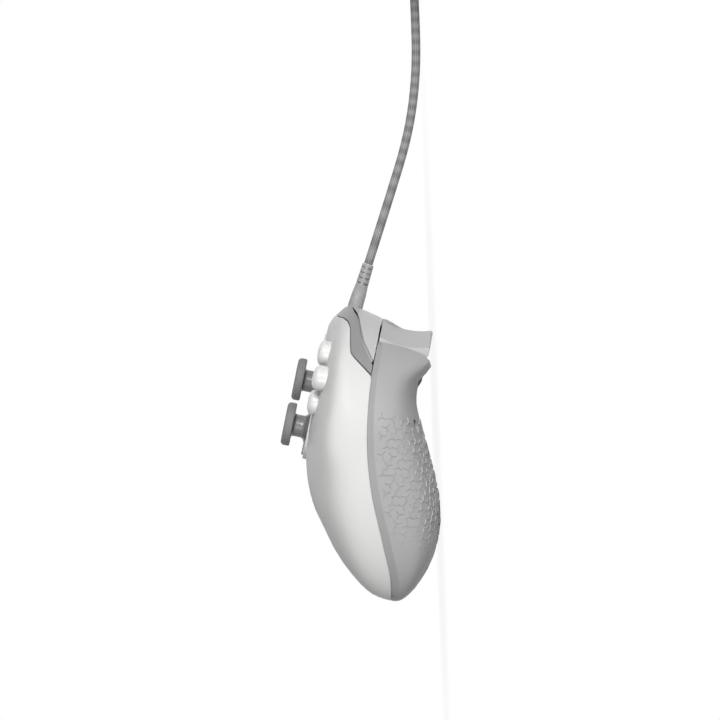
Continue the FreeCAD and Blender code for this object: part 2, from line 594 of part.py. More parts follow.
def torsion_spring(name, side):
    """Three turns of square wire round the trigger's pin."""
    turns = 3
    pitch = 0.9
    radius = 1.75
    helix = Part.makeHelix(pitch, pitch * turns, radius)
    wire = Part.Wire([helix] if isinstance(helix, Part.Edge) else helix.Edges)
    near = radius - 0.25
    profile = loop_of([(near, 0, -0.25), (near + 0.5, 0, -0.25), (near + 0.5, 0, 0.25), (near, 0, 0.25)])
    coil = wire.makePipeShell([profile], True, True)
    coil.Placement = Placement(Vector(side * 1.0 - 1.3, 0, num("trigger_z")), Rotation(Vector(0, 1, 0), 90))
    spring = solid_from(name, coil)
    return spring


def shoulder_frame():
    """The plastic frame under the shoulders that carries the trigger and bumper pins."""
    parts = [block("frame_bar", "2 * frame_half", "frame_depth", "frame_thickness", "0",
                   "frame_y + frame_depth / 2", "frame_top - frame_thickness"),
             block("frame_tongue", "14", "14.5", "frame_thickness", "0", "frame_y + 7.2",
                   "frame_top - frame_thickness")]
    cuts = []
    for side in (-1, 1):
        parts.append(block("bumper_arm_%d" % side, "5", "23", "frame_thickness", "%d * bumper_pin_x" % side,
                           "frame_y + 11.5", "frame_top - frame_thickness"))
        spot = trigger_spot(side)
        for end in (-1, 1):
            inner_face = num("trigger_width") / 2 + num("trigger_gap")
            ear = doc.addObject("Part::Box", "ear_%d_%d" % (side, end))
            reach = 16.5 if end * side < 0 else 7.9
            bind(ear, Length="ear_thickness", Height="trigger_z + ear_radius - frame_top + frame_thickness")
            ear.Width = reach + num("ear_radius")
            left_edge = inner_face if end > 0 else -inner_face - num("ear_thickness")
            corner = Vector(left_edge, -reach, num("frame_top") - num("frame_thickness"))
            ear.Placement = spot * Placement(corner, Rotation())
            parts.append(ear)
        bore = doc.addObject("Part::Cylinder", "ear_bore_%d" % side)
        bind(bore, Radius="pin_radius + 0.02", Height="40")
        bore.Placement = spot * Placement(Vector(-20, 0, num("trigger_z")), Rotation(Vector(0, 1, 0), 90))
        cuts.append(bore)
        cuts.append(rod("frame_hole_%d" % side, "board_screw_radius + 0.2", "8", "%d * frame_screw_x" % side,
                        "frame_y + frame_depth / 2", "frame_top - 5"))
    keep(less("shoulder_frame_solid", joined("frame_blank", *parts), *cuts), "shoulder_frame")
    switches = [block("bumper_switch_%d" % side, "5", "4", "5", "%d * bumper_switch_x" % side,
                      "frame_y + 2", "frame_top") for side in (-1, 1)]
    keep(group("bumper_switch_group", *switches), "bumper_switches")


def face_buttons():
    """Four tall buttons with a flange, over one rubber sheet of domes."""
    domes = []
    for name, way in BUTTONS.items():
        x, y = button_place(way)
        body = joined(name + "_solid",
                      rod(name + "_body", "button_radius", "button_top - 1.9 - button_foot", x, y,
                          "button_foot"),
                      cone(name + "_shoulder", "button_radius", "button_radius - 0.5", "1.1", x, y,
                           "button_top - 1.9"),
                      cone(name + "_crown", "button_radius - 0.5", "button_radius - 1.9", "0.8", x, y,
                           "button_top - 0.8"),
                      rod(name + "_flange", "button_flange", "flange_thickness", x, y,
                          "guide_wall_foot - 0.3 - flange_thickness"))
        keep(body, name)
        domes.append(cone(name + "_dome", "4.2", "3.0", "membrane_dome - board_top - membrane_thickness",
                          x, y, "board_top + membrane_thickness"))
    sheet_base = block("button_sheet", "2 * button_pitch + 9", "2 * button_pitch + 5", "membrane_thickness",
                       "buttons_x", "buttons_y - 1.2", "board_top")
    keep(joined("face_button_membrane_solid", sheet_base, *domes), "face_button_membrane")


def small_buttons():
    """The guide button and three small ones, each over a switch."""
    switches = []
    for name, (x, y, radius, top) in SMALL.items():
        foot = "small_foot"
        body = joined(name + "_solid",
                      rod(name + "_body", radius, top + " - 0.3 - small_foot", x, y, foot),
                      cone(name + "_crown", radius, radius + " - 0.4", "0.3", x, y, top + " - 0.3"),
                      rod(name + "_flange", radius + " + 1.0", "1", x, y, "guide_wall_foot + 0.2"))
        keep(body, name)
        floor = "frame_top" if name == "guide_button" else "board_top"
        switches.append(block(name + "_switch", "switch_side", "switch_side", "switch_top - %s" % floor,
                              x, y, floor))
    keep(group("centre_switch_group", *switches), "centre_switches")


def direction_pad():
    """The cross, its rocker underneath, and its rubber sheet."""
    cross = [block("dpad_bar_x", "dpad_span", "dpad_arm", "dpad_top + 4.6", "dpad_x", "dpad_y", "-4.6"),
             block("dpad_bar_y", "dpad_arm", "dpad_span", "dpad_top + 4.6", "dpad_x", "dpad_y", "-4.6"),
             rod("dpad_disc", "dpad_flange", "1.2", "dpad_x", "dpad_y", "-5.8")]
    dish = ball("dpad_dish", "30", "dpad_x", "dpad_y", "dpad_top + 29")
    socket = rod("dpad_socket", "3.4", "2", "dpad_x", "dpad_y", "-6.3")
    legs = [block("dpad_leg_%d" % end, "3.6", "1.4", "4.4", "dpad_x", "dpad_y + %d * 5.6" % end, "-10")
            for end in (-1, 1)]
    journal = rod("dpad_journal", "pin_radius + pin_gap", "20", "dpad_x", "dpad_y - 10", "dpad_pivot_z", "y")
    keep(less("dpad_solid", joined("dpad_blank", *cross, *legs), dish, socket, journal), "dpad")
    rocker = [rod("rocker_post", "3.0", "2.6", "dpad_x", "dpad_y", "-7.2"),
              rod("rocker_plate", "4.2", "1.2", "dpad_x", "dpad_y", "-8.4"),
              rod("rocker_bar", "pin_radius", "13", "dpad_x - 6.5", "dpad_y", "dpad_pivot_z", "x"),
              rod("rocker_cross_bar", "pin_radius", "13", "dpad_x", "dpad_y - 6.5", "dpad_pivot_z", "y")]
    keep(joined("dpad_rocker_solid", *rocker), "dpad_rocker")
    rise = "dpad_pivot_z + 1.8 - board_top"
    stand = [block("stand_foot", "12.6", "6", "1.5", "dpad_x", "dpad_y", "board_top"),
             block("stand_left", "1.4", "4", rise, "dpad_x - 5.6", "dpad_y", "board_top"),
             block("stand_right", "1.4", "4", rise, "dpad_x + 5.6", "dpad_y", "board_top")]
    bore = rod("stand_bore", "pin_radius + pin_gap", "20", "dpad_x - 10", "dpad_y", "dpad_pivot_z", "x")
    keep(less("dpad_stand_solid", joined("stand_blank", *stand), bore), "dpad_stand")
    domes = []
    for turn in range(4):
        x = "dpad_x + %d * 9" % round(math.cos(turn * math.pi / 2))
        y = "dpad_y + %d * 9" % round(math.sin(turn * math.pi / 2))
        domes.append(cone("dpad_dome_%d" % turn, "2.2", "1.6", "7.5", x, y, "board_top + membrane_thickness"))
    base = less("dpad_sheet", block("dpad_sheet_plate", "24", "24", "membrane_thickness", "dpad_x", "dpad_y",
                                    "board_top"),
                block("dpad_sheet_gap", "13.4", "7", "4", "dpad_x", "dpad_y", "board_top - 1"))
    keep(joined("dpad_membrane_solid", base, *domes), "dpad_membrane")


def stick(side, x, y):
    """One stick: its house on the board, the yoke, the ball in it, the shaft and the cap."""
    wide = "2 * stick_house_half"
    inside = "2 * stick_house_half - 2 * stick_house_wall"
    house = block(side + "_house_box", wide, wide, "stick_pivot + stick_house_rise - board_top", x, y,
                  "board_top")
    space = block(side + "_house_space", inside, inside, "20", x, y, "board_top + 1.2")
    track = rod(side + "_track", "trunnion_radius + running_gap", "30", x + " - 15", y, "stick_pivot", "x")
    keep(less(side + "_stick_house_solid", house, space, track), side + "_stick_house")
    ring = block(side + "_yoke_box", "2 * yoke_half", "2 * yoke_half", "yoke_height", x, y,
                 "stick_pivot - yoke_height / 2")
    gap = block(side + "_yoke_gap", "2 * yoke_half - 2 * yoke_bar", "2 * yoke_half - 2 * yoke_bar", "10",
                x, y, "stick_pivot - 5")
    arms = [rod(side + "_trunnion_low", "trunnion_radius", "2.5", x + " - yoke_half - 2.3", y,
                "stick_pivot", "x"),
            rod(side + "_trunnion_high", "trunnion_radius", "2.5", x + " + yoke_half - 0.2", y,
                "stick_pivot", "x")]
    cross = rod(side + "_cross_track", "trunnion_radius + running_gap", "30", x, y + " - 15", "stick_pivot",
                "y")
    frame = joined(side + "_yoke_blank", less(side + "_yoke_frame", ring, gap), *arms)
    keep(less(side + "_yoke_solid", frame, cross), side + "_stick_yoke")
    core = block(side + "_ball_box", "2 * ball_half", "2 * ball_half", "yoke_height", x, y,
                 "stick_pivot - yoke_height / 2")
    axle = rod(side + "_ball_axle", "trunnion_radius", "2 * yoke_half", x, y + " - yoke_half",
               "stick_pivot", "y")
    way = rod(side + "_ball_way", "shaft_radius + running_gap", "10", x, y, "stick_pivot - 5")
    keep(less(side + "_ball_solid", joined(side + "_ball_blank", core, axle), way), side + "_stick_ball")
    shaft = rod(side + "_shaft_rod", "shaft_radius", "cap_under - stick_pivot + 1.5 + 1", x, y,
                "stick_pivot - 1.5")
    keep(shaft, side + "_stick_shaft")
    keep(stick_cap(side, x, y), side + "_stick_cap")


def stick_cap(side, x, y):
    """The cap: a dished top with a rounded rim, a stem and a skirt that closes the opening."""
    rim = "(cap_top - cap_under)"
    solids = [cone(side + "_cap_low", "cap_radius - 0.5", "cap_radius", rim + " * 0.2", x, y, "cap_under"),
              rod(side + "_cap_mid", "cap_radius", rim + " * 0.45", x, y, "cap_under + %s * 0.2" % rim),
              cone(side + "_cap_high", "cap_radius", "cap_radius - 1.2", rim + " * 0.35", x, y,
                   "cap_under + %s * 0.65" % rim),
              rod(side + "_stem", "stem_radius", "cap_under - stick_pivot - dome_radius + 2.5", x, y,
                  "stick_pivot + dome_radius - 2.2")]
    skin = joined(side + "_dome", *dome_layers(side + "_dome_skin", x, y, "dome_radius"))
    room = dome_layers(side + "_dome_room", x, y, "(dome_radius - dome_wall)")
    room.append(rod(side + "_dome_mouth", "(dome_radius - dome_wall) * sin(%d)" % DOME_STEPS[-1], "2.01",
                    x, y, "stick_pivot + (dome_radius - dome_wall) * cos(%d) - 2" % DOME_STEPS[-1]))
    solids.append(less(side + "_dome_shell", skin, joined(side + "_dome_inside", *room)))
    dish = cone(side + "_dish", "cap_dish_radius - 1.2", "cap_dish_radius", "cap_dish", x, y,
                "cap_top - cap_dish")
    bore = rod(side + "_cap_bore", "shaft_radius + 0.01", "cap_under - stick_pivot + 1", x, y, "stick_pivot")
    return less(side + "_cap_solid", joined(side + "_cap_blank", *solids), dish, bore)


DOME_STEPS = (0, 18, 34, 50, 66)


def dome_layers(name, x, y, radius):
    """A dome about the stick's pivot, as cones between a few angles from its axis."""
    layers = []
    for high, low in zip(DOME_STEPS, DOME_STEPS[1:]):
        layers.append(cone("%s_%d" % (name, low), "%s * sin(%d)" % (radius, low),
                           "%s * sin(%d)" % (radius, high), "%s * (cos(%d) - cos(%d))" % (radius, high, low),
                           x, y, "stick_pivot + %s * cos(%d)" % (radius, low)))
    return layers


def boards():
    """The main board, the port board with its socket, and the headset jack."""
    outline = [(-53.0, 6.0), (-53.0, 19.8), (-36.0, 22.6), (36.0, 22.6), (37.0, 30.4), (48.5, 30.4),
               (51.0, 24.0), (55.0, 22.6), (58.0, 21.6), (58.0, 6.0), (43.0, -9.0), (30.0, -9.5),
               (8.0, -15.0), (-8.0, -15.0), (-30.0, -9.5), (-43.0, -9.0)]
    plate = sketch_body("main_board_plate", "XY_Plane", lines_through(outline), "board_thickness",
                        num("board_top") - num("board_thickness"))
    holes = [rod("board_hole_%d" % index, "board_screw_radius + 0.2", "6", x, y, "board_top - 4")
             for index, (x, y) in enumerate(BOARD_SCREWS)]
    holes.append(rod("board_middle_hole", "post_radius + 0.5", "6", "0", "middle_screw_y", "board_top - 4"))
    keep(less("main_board_solid", plate, *holes), "main_board")
    port = port_spot()
    board = doc.addObject("Part::Box", "usb_board_plate")
    bind(board, Length="14", Width="8.4", Height="1.2")
    foot = -num("plug_height") / 2 - num("socket_wall") - 1.3
    board.Placement = Placement(Vector(-7, -11.4, foot), Rotation())
    keep(board, "usb_board", port)
    outer = [("socket_outer", 0.35), ("socket_inner", 0.0)]
    shells = []
    for name, extra in outer:
        box = doc.addObject("Part::Box", name)
        grow = extra + num("port_gap")
        bind(box, Length="plug_width + 2 * %s" % grow, Width="8", Height="plug_height + 2 * %s" % grow)
        box.Placement = Placement(Vector(-num("plug_width") / 2 - grow, -10.5 + (0 if extra else 1),
                                         -num("plug_height") / 2 - grow), Rotation())
        shells.append(box)
    keep(less("usb_socket_solid", *shells), "usb_socket", port)
    body = block("jack_body", "6.5", "10.8", "5.7", "0", "-9.6", "board_top - board_thickness - 5.7")
    nose = rod("jack_nose", "2.85", "3", "0", "jack_mouth_y", "jack_z", "y")
    bore = rod("jack_bore", "jack_radius", "jack_length", "0", "jack_mouth_y", "jack_z", "y")
    keep(less("headset_jack_solid", joined("jack_blank", body, nose), bore), "headset_jack")


def motors():
    """A rumble motor in each grip, with its eccentric weight."""
    for side, word in ((-1, "left"), (1, "right")):
        x = "%d * motor_x" % side
        can = rod(word + "_motor_can", "motor_radius", "motor_length", x, "motor_y - motor_length",
                  "motor_z", "y")
        bore = rod(word + "_motor_bore", "rotor_radius + shaft_gap", "4", x, "motor_y - motor_length - 0.5",
                   "motor_z", "y")
        keep(less(word + "_motor_solid", can, bore), word + "_rumble_motor")
        disc = rod(word + "_weight_disc", word + "_weight_radius", "weight_length", x,
                   "motor_y - motor_length - 1 - weight_length", "motor_z", "y")
        upper = block(word + "_weight_gap", "40", "20", "30", x, "motor_y - motor_length - weight_length",
                      "motor_z - 0.01")
        hub = rod(word + "_weight_hub", "2.6", "weight_length", x,
                  "motor_y - motor_length - 1 - weight_length", "motor_z", "y")
        spindle = rod(word + "_weight_spindle", "rotor_radius", "4", x, "motor_y - motor_length - 1.2",
                      "motor_z", "y")
        keep(joined(word + "_weight_solid", less(word + "_weight_half", disc, upper), hub, spindle),
             word + "_rumble_weight")


def screws():
    """The case screws and the board screws, each kind one node."""
    case = []
    for index, (x, y, seat) in enumerate(HOUSE_SCREWS):
        case.append(joined("case_screw_%d" % index,
                           rod("case_head_%d" % index, "screw_head", "screw_head_height", x, y,
                               "%s - screw_head_height" % seat),
                           rod("case_shank_%d" % index, "screw_radius", "screw_length", x, y, str(seat))))
    keep(group("case_screw_group", *case), "housing_screws")
    small = []
    seat = "board_top - board_thickness"
    for index, (x, y) in enumerate(BOARD_SCREWS):
        small.append(joined("board_screw_%d" % index,
                            rod("board_head_%d" % index, "board_screw_radius + 0.8", "1.2", x, y,
                                seat + " - 1.2"),
                            rod("board_shank_%d" % index, "board_screw_radius", "5.5", x, y, seat)))
    for side in (-1, 1):
        x = "%d * frame_screw_x" % side
        small.append(joined("frame_screw_%d" % side,
                            rod("frame_head_%d" % side, "board_screw_radius + 0.8", "1.2", x,
                                "frame_y + frame_depth / 2", "frame_top"),
                            rod("frame_shank_%d" % side, "board_screw_radius", "6.5", x,
                                "frame_y + frame_depth / 2", "frame_top - 6.5")))
    keep(group("board_screw_group", *small), "board_screws")


def cord_path(points):
    """Straight runs joined by the largest arcs that they allow; prints the radii."""
    points = [Vector(*point) for point in points]
    edges = []
    start = points[0]
    radii = []
    for before, corner, after in zip(points, points[1:], points[2:]):
        into = (corner - before).normalize()
        out = (after - corner).normalize()
        turn = into.getAngle(out)
        reach = 0.45 * min((corner - before).Length, (after - corner).Length)
        radius = reach / math.tan(turn / 2)
        radii.append(round(radius, 1))
        first, last = corner - into * reach, corner + out * reach
        inward = (out - into).normalize()
        middle = corner + inward * (radius / math.cos(turn / 2) - radius)
        edges.append(Part.LineSegment(start, first).toShape())
        edges.append(Part.Arc(first, middle, last).toShape())
        start = last
    edges.append(Part.LineSegment(start, points[-1]).toShape())
    print("cord radii", radii)
    return Part.Wire(edges)


def biarc(start, start_way, end, end_way):
    """Two arcs that join two points and follow a direction at each."""
    chord = end - start
    both = start_way + end_way
    product = start_way.dot(end_way)
    along = chord.dot(both)
    reach = (-along + math.sqrt(along ** 2 + 2 * (1 - product) * chord.dot(chord))) / (2 * (1 - product))
    middle = (start + end + (start_way - end_way) * reach) * 0.5
    arcs = []
    for low, way, high in ((start, start_way, middle), (end, end_way * -1, middle)):
        line = high - low
        side = way - line * (way.dot(line) / line.dot(line))
        bulge = line.Length / 2 * math.tan(way.getAngle(line) / 2)
        top = low + line * 0.5 + side.normalize() * bulge
        arcs.append((low, top, high))
    second = arcs[1]
    return [Part.Arc(*arcs[0]).toShape(), Part.Arc(second[2], second[1], second[0]).toShape()]


def coil_point(turn, layers):
    """A point of the coil and its direction: the spiral runs in and out, a layer up at each reversal."""
    length = num("coil_layer_turns")
    pitch = num("coil_pitch")
    layer = min(layers - 1, int(turn / length + 1e-9))
    within = turn - layer * length
    inward = layer % 2 == 0
    share = within / length
    inner, outer = num("coil_inner"), num("coil_inner") + pitch * length
    radius = outer - (outer - inner) * share if inward else inner + (outer - inner) * share
    radius_rate = -pitch if inward else pitch
    z = layer * pitch
    z_rate = 0.0
    if within < 1e-9:
        radius_rate = 0.0
        if layer:
            z -= pitch / 2
            z_rate = 3 * pitch
    angle = math.pi - 2 * math.pi * turn
    place = Vector(num("coil_x") + radius * math.cos(angle), num("coil_y") + radius * math.sin(angle),
                   coil_foot() + z)
    way = Vector(radius_rate * math.cos(angle) + 2 * math.pi * radius * math.sin(angle),
                 radius_rate * math.sin(angle) - 2 * math.pi * radius * math.cos(angle), z_rate)
    return place, way.normalize()


def coil_foot():
    """Height of the middle of the coil's first layer: its tie runs under it."""
    return num("tie_thickness") + 0.1 + num("cable_radius")


def tube(name, path, radius, sides):
    """A tube along a path: round, or with a few flat sides."""
    start = path.Edges[0]
    place = start.valueAt(start.FirstParameter)
    way = start.tangentAt(start.FirstParameter)
    if sides:
        across = way.cross(Vector(0, 0, 1)).normalize()
        up = across.cross(way)
        turns = [2 * math.pi * step / sides for step in range(sides)]
        ring = [place + across * (radius * math.cos(turn)) + up * (radius * math.sin(turn)) for turn in turns]
        section = Part.makePolygon(ring + ring[:1])
    else:
        section = Part.Wire([Part.makeCircle(radius, place, way)])
    solid = path.makePipeShell([section], True, False)
    area = Part.Face(section).Area
    print("%s: %.1f mm long, volume %.0f against %.0f"
          % (name, path.Length, solid.Volume, area * path.Length))
    return solid_from(name, solid)


COIL_LAYERS = 4
COIL_SHORT = 0.75
COIL_SIDES = 6


def cable():
    """The USB-C plug and boot, the free lead, the coil with its tie, the tail and the USB-A plug."""
    spot = LAID * port_spot()
    plug = sketch_body("plug_shell_c", "XZ_Plane",
                       rounded_outline(num("plug_width"), num("plug_height"), 1.2), "plug_reach + boot_foot")
    gap = num("boot_foot")
    keep_where_it_is(plug, "usb_c_plug").Placement = spot * Placement(Vector(0, gap, 0), Rotation())
    length, relief = num("overmold_length"), num("relief_length")
    core = sketch_body("overmold", "XZ_Plane",
                       rounded_outline(num("overmold_width"), num("overmold_height"), 2.6), "overmold_length")
    core.Placement = Placement(Vector(0, length + gap, 0), Rotation())
    neck = cone("relief_cone", "relief_radius", "relief_radius - 0.4", "relief_length", "0",
                "overmold_length + boot_foot", "0", "y")
    slots = []
    for row in range(4):
        y = "overmold_length + boot_foot + %.2f" % (0.9 + 2.1 * row)
        groove = less("groove_%d" % row, rod("groove_outer_%d" % row, "4", "0.9", "0", y, "0", "y"),
                      rod("groove_inner_%d" % row, "cable_radius", "0.9", "0", y, "0", "y"))
        ribs = [block("rib_%s_%d" % (name, row), length, "3", height, "0", y, "-(%s) / 2" % height)
                for name, length, height in (("flat", "9", "0.9"), ("upright", "0.9", "9"))]
        slots.append(less("slots_%d" % row, groove, *ribs))
    boot = less("cable_boot_solid", joined("boot_blank", core, neck), *slots)
    keep(boot, "cable_boot", port_spot())
    start = spot.multVec(Vector(0, length + gap + relief, 0))
    outer = num("coil_inner") + num("coil_pitch") * num("coil_layer_turns")
    entry = (num("coil_x") - outer, num("coil_y"), coil_foot())
    lead = [tuple(start), (0.2, 100.3, 15.1), (0.8, 126.5, 6.1), (2.6, 151.0, 2.2), (2.2, 176.0, 2.0),
            (entry[0], 200.0, coil_foot()), entry]
    keep_where_it_is(tube("lead_tube", cord_path(lead), num("cable_radius"), 0), "cable_lead")
    turns = COIL_LAYERS * num("coil_layer_turns") - COIL_SHORT
    steps = round(turns * 4)
    stops = [coil_point(step / 4, COIL_LAYERS) for step in range(steps + 1)]
    edges = []
    for (low, low_way), (high, high_way) in zip(stops, stops[1:]):
        edges += biarc(low, low_way, high, high_way)
    path = Part.Wire(edges)
    print("least gap in the coil", least_gap(edges))
    keep_where_it_is(tube("coil_tube", path, num("cable_radius"), COIL_SIDES), "cable_coil")
    last, way = stops[-1]
    y_end = last.y
    tail = [tuple(last), tuple(last + way * 13), (last.x + 28, y_end - 1.5, last.z - 3.0),
            (num("coil_x") + outer + 11.2, y_end - 13, 6.0), (num("coil_x") + outer + 11.7, y_end - 27, 3.9)]
    keep_where_it_is(tube("tail_tube", cord_path(tail), num("cable_radius"), 0), "cable_tail")
    end = Vector(*tail[-1])
    body = sketch_body("usb_a_grip", "XZ_Plane",
                       rounded_outline(num("usb_a_width"), num("usb_a_height"), 2.0), "usb_a_length")
    keep_where_it_is(body, "usb_a_body").Placement = Placement(end, Rotation())
    shell = sketch_body("usb_a_metal", "XZ_Plane", rounded_outline(12.0, 4.5, 0.4), "12")
    tip = end - Vector(0, num("usb_a_length"), 0)
    keep_where_it_is(shell, "usb_a_plug").Placement = Placement(tip, Rotation())
    tie(outer)


def tie(outer):
    """A flat strap round the bundle of turns, on the side away from the pad."""
    radius, pitch, thickness = num("cable_radius"), num("coil_pitch"), num("tie_thickness")
    inner = num("coil_inner") - radius - 0.4
    reach = outer + radius + 0.4
    low, high = 0.05, coil_foot() + (COIL_LAYERS - 1) * pitch + radius + 0.1
    band = Part.makeBox(num("tie_width"), reach - inner + 2 * thickness, high - low + thickness,
                        Vector(-num("tie_width") / 2, inner - thickness, low))
    room = Part.makeBox(num("tie_width"), reach - inner, high - low - thickness,
                        Vector(-num("tie_width") / 2, inner, low + thickness))
    strap = solid_from("tie_strap", band.cut(room))
    strap.Placement = Placement(Vector(num("coil_x"), num("coil_y"), 0), Rotation(Vector(0, 0, 1), 215))
    keep_where_it_is(strap, "cable_tie")


def least_gap(edges):
    """The smallest distance between turns of the coil, less its diameter, on points."""
    points = []
    for edge in edges:
        span = edge.LastParameter - edge.FirstParameter
        points += [edge.valueAt(edge.FirstParameter + span * step / 4) for step in range(4)]
    apart = len(points) // 20
    least = min((points[low] - points[high]).Length
                for low in range(len(points)) for high in range(low + apart, len(points)))
    return round(least - 2 * num("cable_radius"), 3)


face_shell()
back_shell()
shoulders()
triggers()
shoulder_frame()
face_buttons()
small_buttons()
direction_pad()
for hand, (stick_x, stick_y) in STICKS.items():
    stick(hand, stick_x, stick_y)
boards()
motors()
screws()
cable()

doc.recompute()
for piece, laid in PIECES:
    piece.Placement = laid.multiply(piece.Placement)
doc.recompute()
os.makedirs("parts", exist_ok=True)
for thing in doc.Objects:
    if "Invalid" in thing.State or "Error" in thing.State:
        raise RuntimeError("%s did not build" % thing.Name)
for piece, laid in PIECES:
    if piece.Shape.isNull() or not piece.Shape.isValid():
        raise RuntimeError("%s has no valid shape" % piece.Label)
    if len(piece.Shape.Solids) == 0:
        raise RuntimeError("%s has no solid" % piece.Label)
for piece, laid in PIECES:
    piece.Shape.exportStep("parts/%s.step" % piece.Label)
    box = piece.Shape.BoundBox
    print("%-22s %2d solids %9.1f mm3  x %.1f %.1f  y %.1f %.1f  z %.1f %.1f" % (
        piece.Label, len(piece.Shape.Solids), piece.Shape.Volume, box.XMin, box.XMax, box.YMin, box.YMax,
        box.ZMin, box.ZMax))
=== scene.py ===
"""Looks for a wired gamepad with offset sticks, lying face up on a table, its cable wound behind it."""

import math

import bmesh
import bpy
from mathutils import Matrix, Vector
from mathutils.bvhtree import BVHTree


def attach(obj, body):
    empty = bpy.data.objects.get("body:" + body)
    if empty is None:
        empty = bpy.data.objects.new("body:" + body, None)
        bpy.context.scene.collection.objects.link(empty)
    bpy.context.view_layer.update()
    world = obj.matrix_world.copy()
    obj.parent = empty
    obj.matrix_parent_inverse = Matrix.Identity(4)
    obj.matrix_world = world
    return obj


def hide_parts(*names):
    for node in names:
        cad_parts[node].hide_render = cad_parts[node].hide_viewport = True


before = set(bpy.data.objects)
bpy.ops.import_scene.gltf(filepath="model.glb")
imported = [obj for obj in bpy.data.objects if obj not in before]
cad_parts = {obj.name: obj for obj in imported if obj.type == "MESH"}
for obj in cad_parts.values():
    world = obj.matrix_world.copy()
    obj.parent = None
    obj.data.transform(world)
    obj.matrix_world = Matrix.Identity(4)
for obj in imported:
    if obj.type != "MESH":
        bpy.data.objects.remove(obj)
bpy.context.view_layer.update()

# The pad is shaped in its own frame, in millimetres: X to the player's right, Y away from the player,
# Z out of the face. It lies tipped on the backs of its grips and its trigger tips.
MM = 0.001
REST_ANGLE = math.radians(13.5)
REST_HEIGHT = 51.51
REST_SHIFT = -0.1
LIE = Matrix.Scale(MM, 4) @ Matrix.Translation(
    (0, REST_HEIGHT * math.sin(REST_ANGLE) + REST_SHIFT, REST_HEIGHT * math.cos(REST_ANGLE))
) @ Matrix.Rotation(-REST_ANGLE, 4, "X")

# Where the parts stand on the face, in X and Y, then a button's number or a small button's radius and top.
STICKS = {"left": (-43.0, 16.4), "right": (20.0, -1.4)}
STICK_PIVOT, SKIRT_RADIUS, SKIRT_WALL = -9.5, 12.0, 1.0
BUTTONS = {"north_button": (43.0, 28.8, "1"), "east_button": (52.8, 19.0, "2"),
           "south_button": (43.0, 9.2, "3"), "west_button": (33.2, 19.0, "4")}
SMALL_BUTTONS = {"view_button": (-11.0, 19.0, 2.6, 0.6), "menu_button": (11.0, 19.0, 2.6, 0.6),
                 "share_button": (0.0, 12.0, 2.6, 0.6), "guide_button": (0.0, 30.0, 6.5, 0.9)}
BUTTON_RADIUS, BUTTON_TOP, BUTTON_CROWN, CROWN_POWER = 4.95, 2.1, 2.8, 2.8
CROSS = (-20.0, -1.4)
CROSS_HOLE = (24.7, 9.3)
STICK_HOLE, BUTTON_HOLE, SMALL_BUTTON_GAP, JACK_HOLE = 10.7, 5.2, 0.25, 3.1
TRIGGER_YAW = math.radians(19)
TRIGGER_PLACE, TRIGGER_REACH, TRIGGER_SLOT = (44.8, 35.0), 8.3, (22.0, 33.4)
# The wells of the housing screws, with the height of their seats.
SCREW_WELLS = [(57, -47, -46), (-57, -47, -46), (64, 8, -30), (-64, 8, -30), (0, 2, -30)]
WELL_RADIUS = 2.6
PANEL_SIZE, PANEL_Y, PANEL_LEVEL = (40, 20), 17, -34.8
BRIDGE_HALF, BRIDGE_STEP, BUMPER_GAP, BUMPER_END, LIP_END = 15.6, 0.6, 0.2, 16.2, 20.0
# At rest a bumper stands turned about its pin, so that it has room for its click.
BUMPER_PIN, BUMPER_REST_TURN = (18.6, 42.4), math.radians(1.1)


def linear(hex_colour):
    """An sRGB hex colour as linear red, green, blue and alpha."""
    parts = [int(hex_colour[start:start + 2], 16) / 255 for start in (0, 2, 4)]
    return [c / 12.92 if c <= 0.04045 else ((c + 0.055) / 1.055) ** 2.4 for c in parts] + [1.0]


def add(tree, kind, inputs=None, **settings):
    """A node with its settings, and its inputs either linked or set."""
    node = tree.nodes.new(kind)
    for key, value in settings.items():
        setattr(node, key, value)
    for key, value in (inputs or {}).items():
        if isinstance(value, bpy.types.NodeSocket):
            tree.links.new(value, node.inputs[key])
        else:
            node.inputs[key].default_value = value
    return node


# Soft clouds of colour about 22 mm across, and how far the grain shifts the roughness.
CLOUDS_PER_METRE, ROUGHNESS_SPREAD = 45.0, 0.06


def finish_material(name, colour, roughness, grain_mm, grain_depth_mm, metallic=0.0, ior=1.5, darker=0.94,
                    coat=0.0, sheen_level=0.5):
    """A moulded, cast or rubbed surface: its colour varies in soft clouds, and its grain is a bump."""
    material = bpy.data.materials.new(name)
    material.use_nodes = True
    tree = material.node_tree
    shader = tree.nodes["Principled BSDF"]
    spot = add(tree, "ShaderNodeTexCoord").outputs["Object"]
    cloud = add(tree, "ShaderNodeTexNoise", {"Vector": spot, "Scale": CLOUDS_PER_METRE, "Detail": 3.0})
    grain = add(tree, "ShaderNodeTexNoise", {"Vector": spot, "Scale": 1 / (grain_mm * MM), "Detail": 2.0})
    light = linear(colour)
    deep = [c * darker for c in light[:3]] + [1.0]
    mixed = add(tree, "ShaderNodeMix", {"Factor": cloud.outputs["Fac"], "A": deep, "B": light},
                data_type="RGBA")
    tree.links.new(mixed.outputs["Result"], shader.inputs["Base Color"])
    spread = add(tree, "ShaderNodeMapRange", {"Value": grain.outputs["Fac"],
                                              "To Min": roughness - ROUGHNESS_SPREAD,
                                              "To Max": roughness + ROUGHNESS_SPREAD})
    tree.links.new(spread.outputs["Result"], shader.inputs["Roughness"])
    bump = add(tree, "ShaderNodeBump", {"Height": grain.outputs["Fac"], "Strength": 1.0,
                                        "Distance": grain_depth_mm * MM})
    tree.links.new(bump.outputs["Normal"], shader.inputs["Normal"])
    shader.inputs["Metallic"].default_value = metallic
    shader.inputs["Coat Weight"].default_value = coat
    shader.inputs["Specular IOR Level"].default_value = sheen_level
    if not metallic:
        shader.inputs["IOR"].default_value = ior
    return material


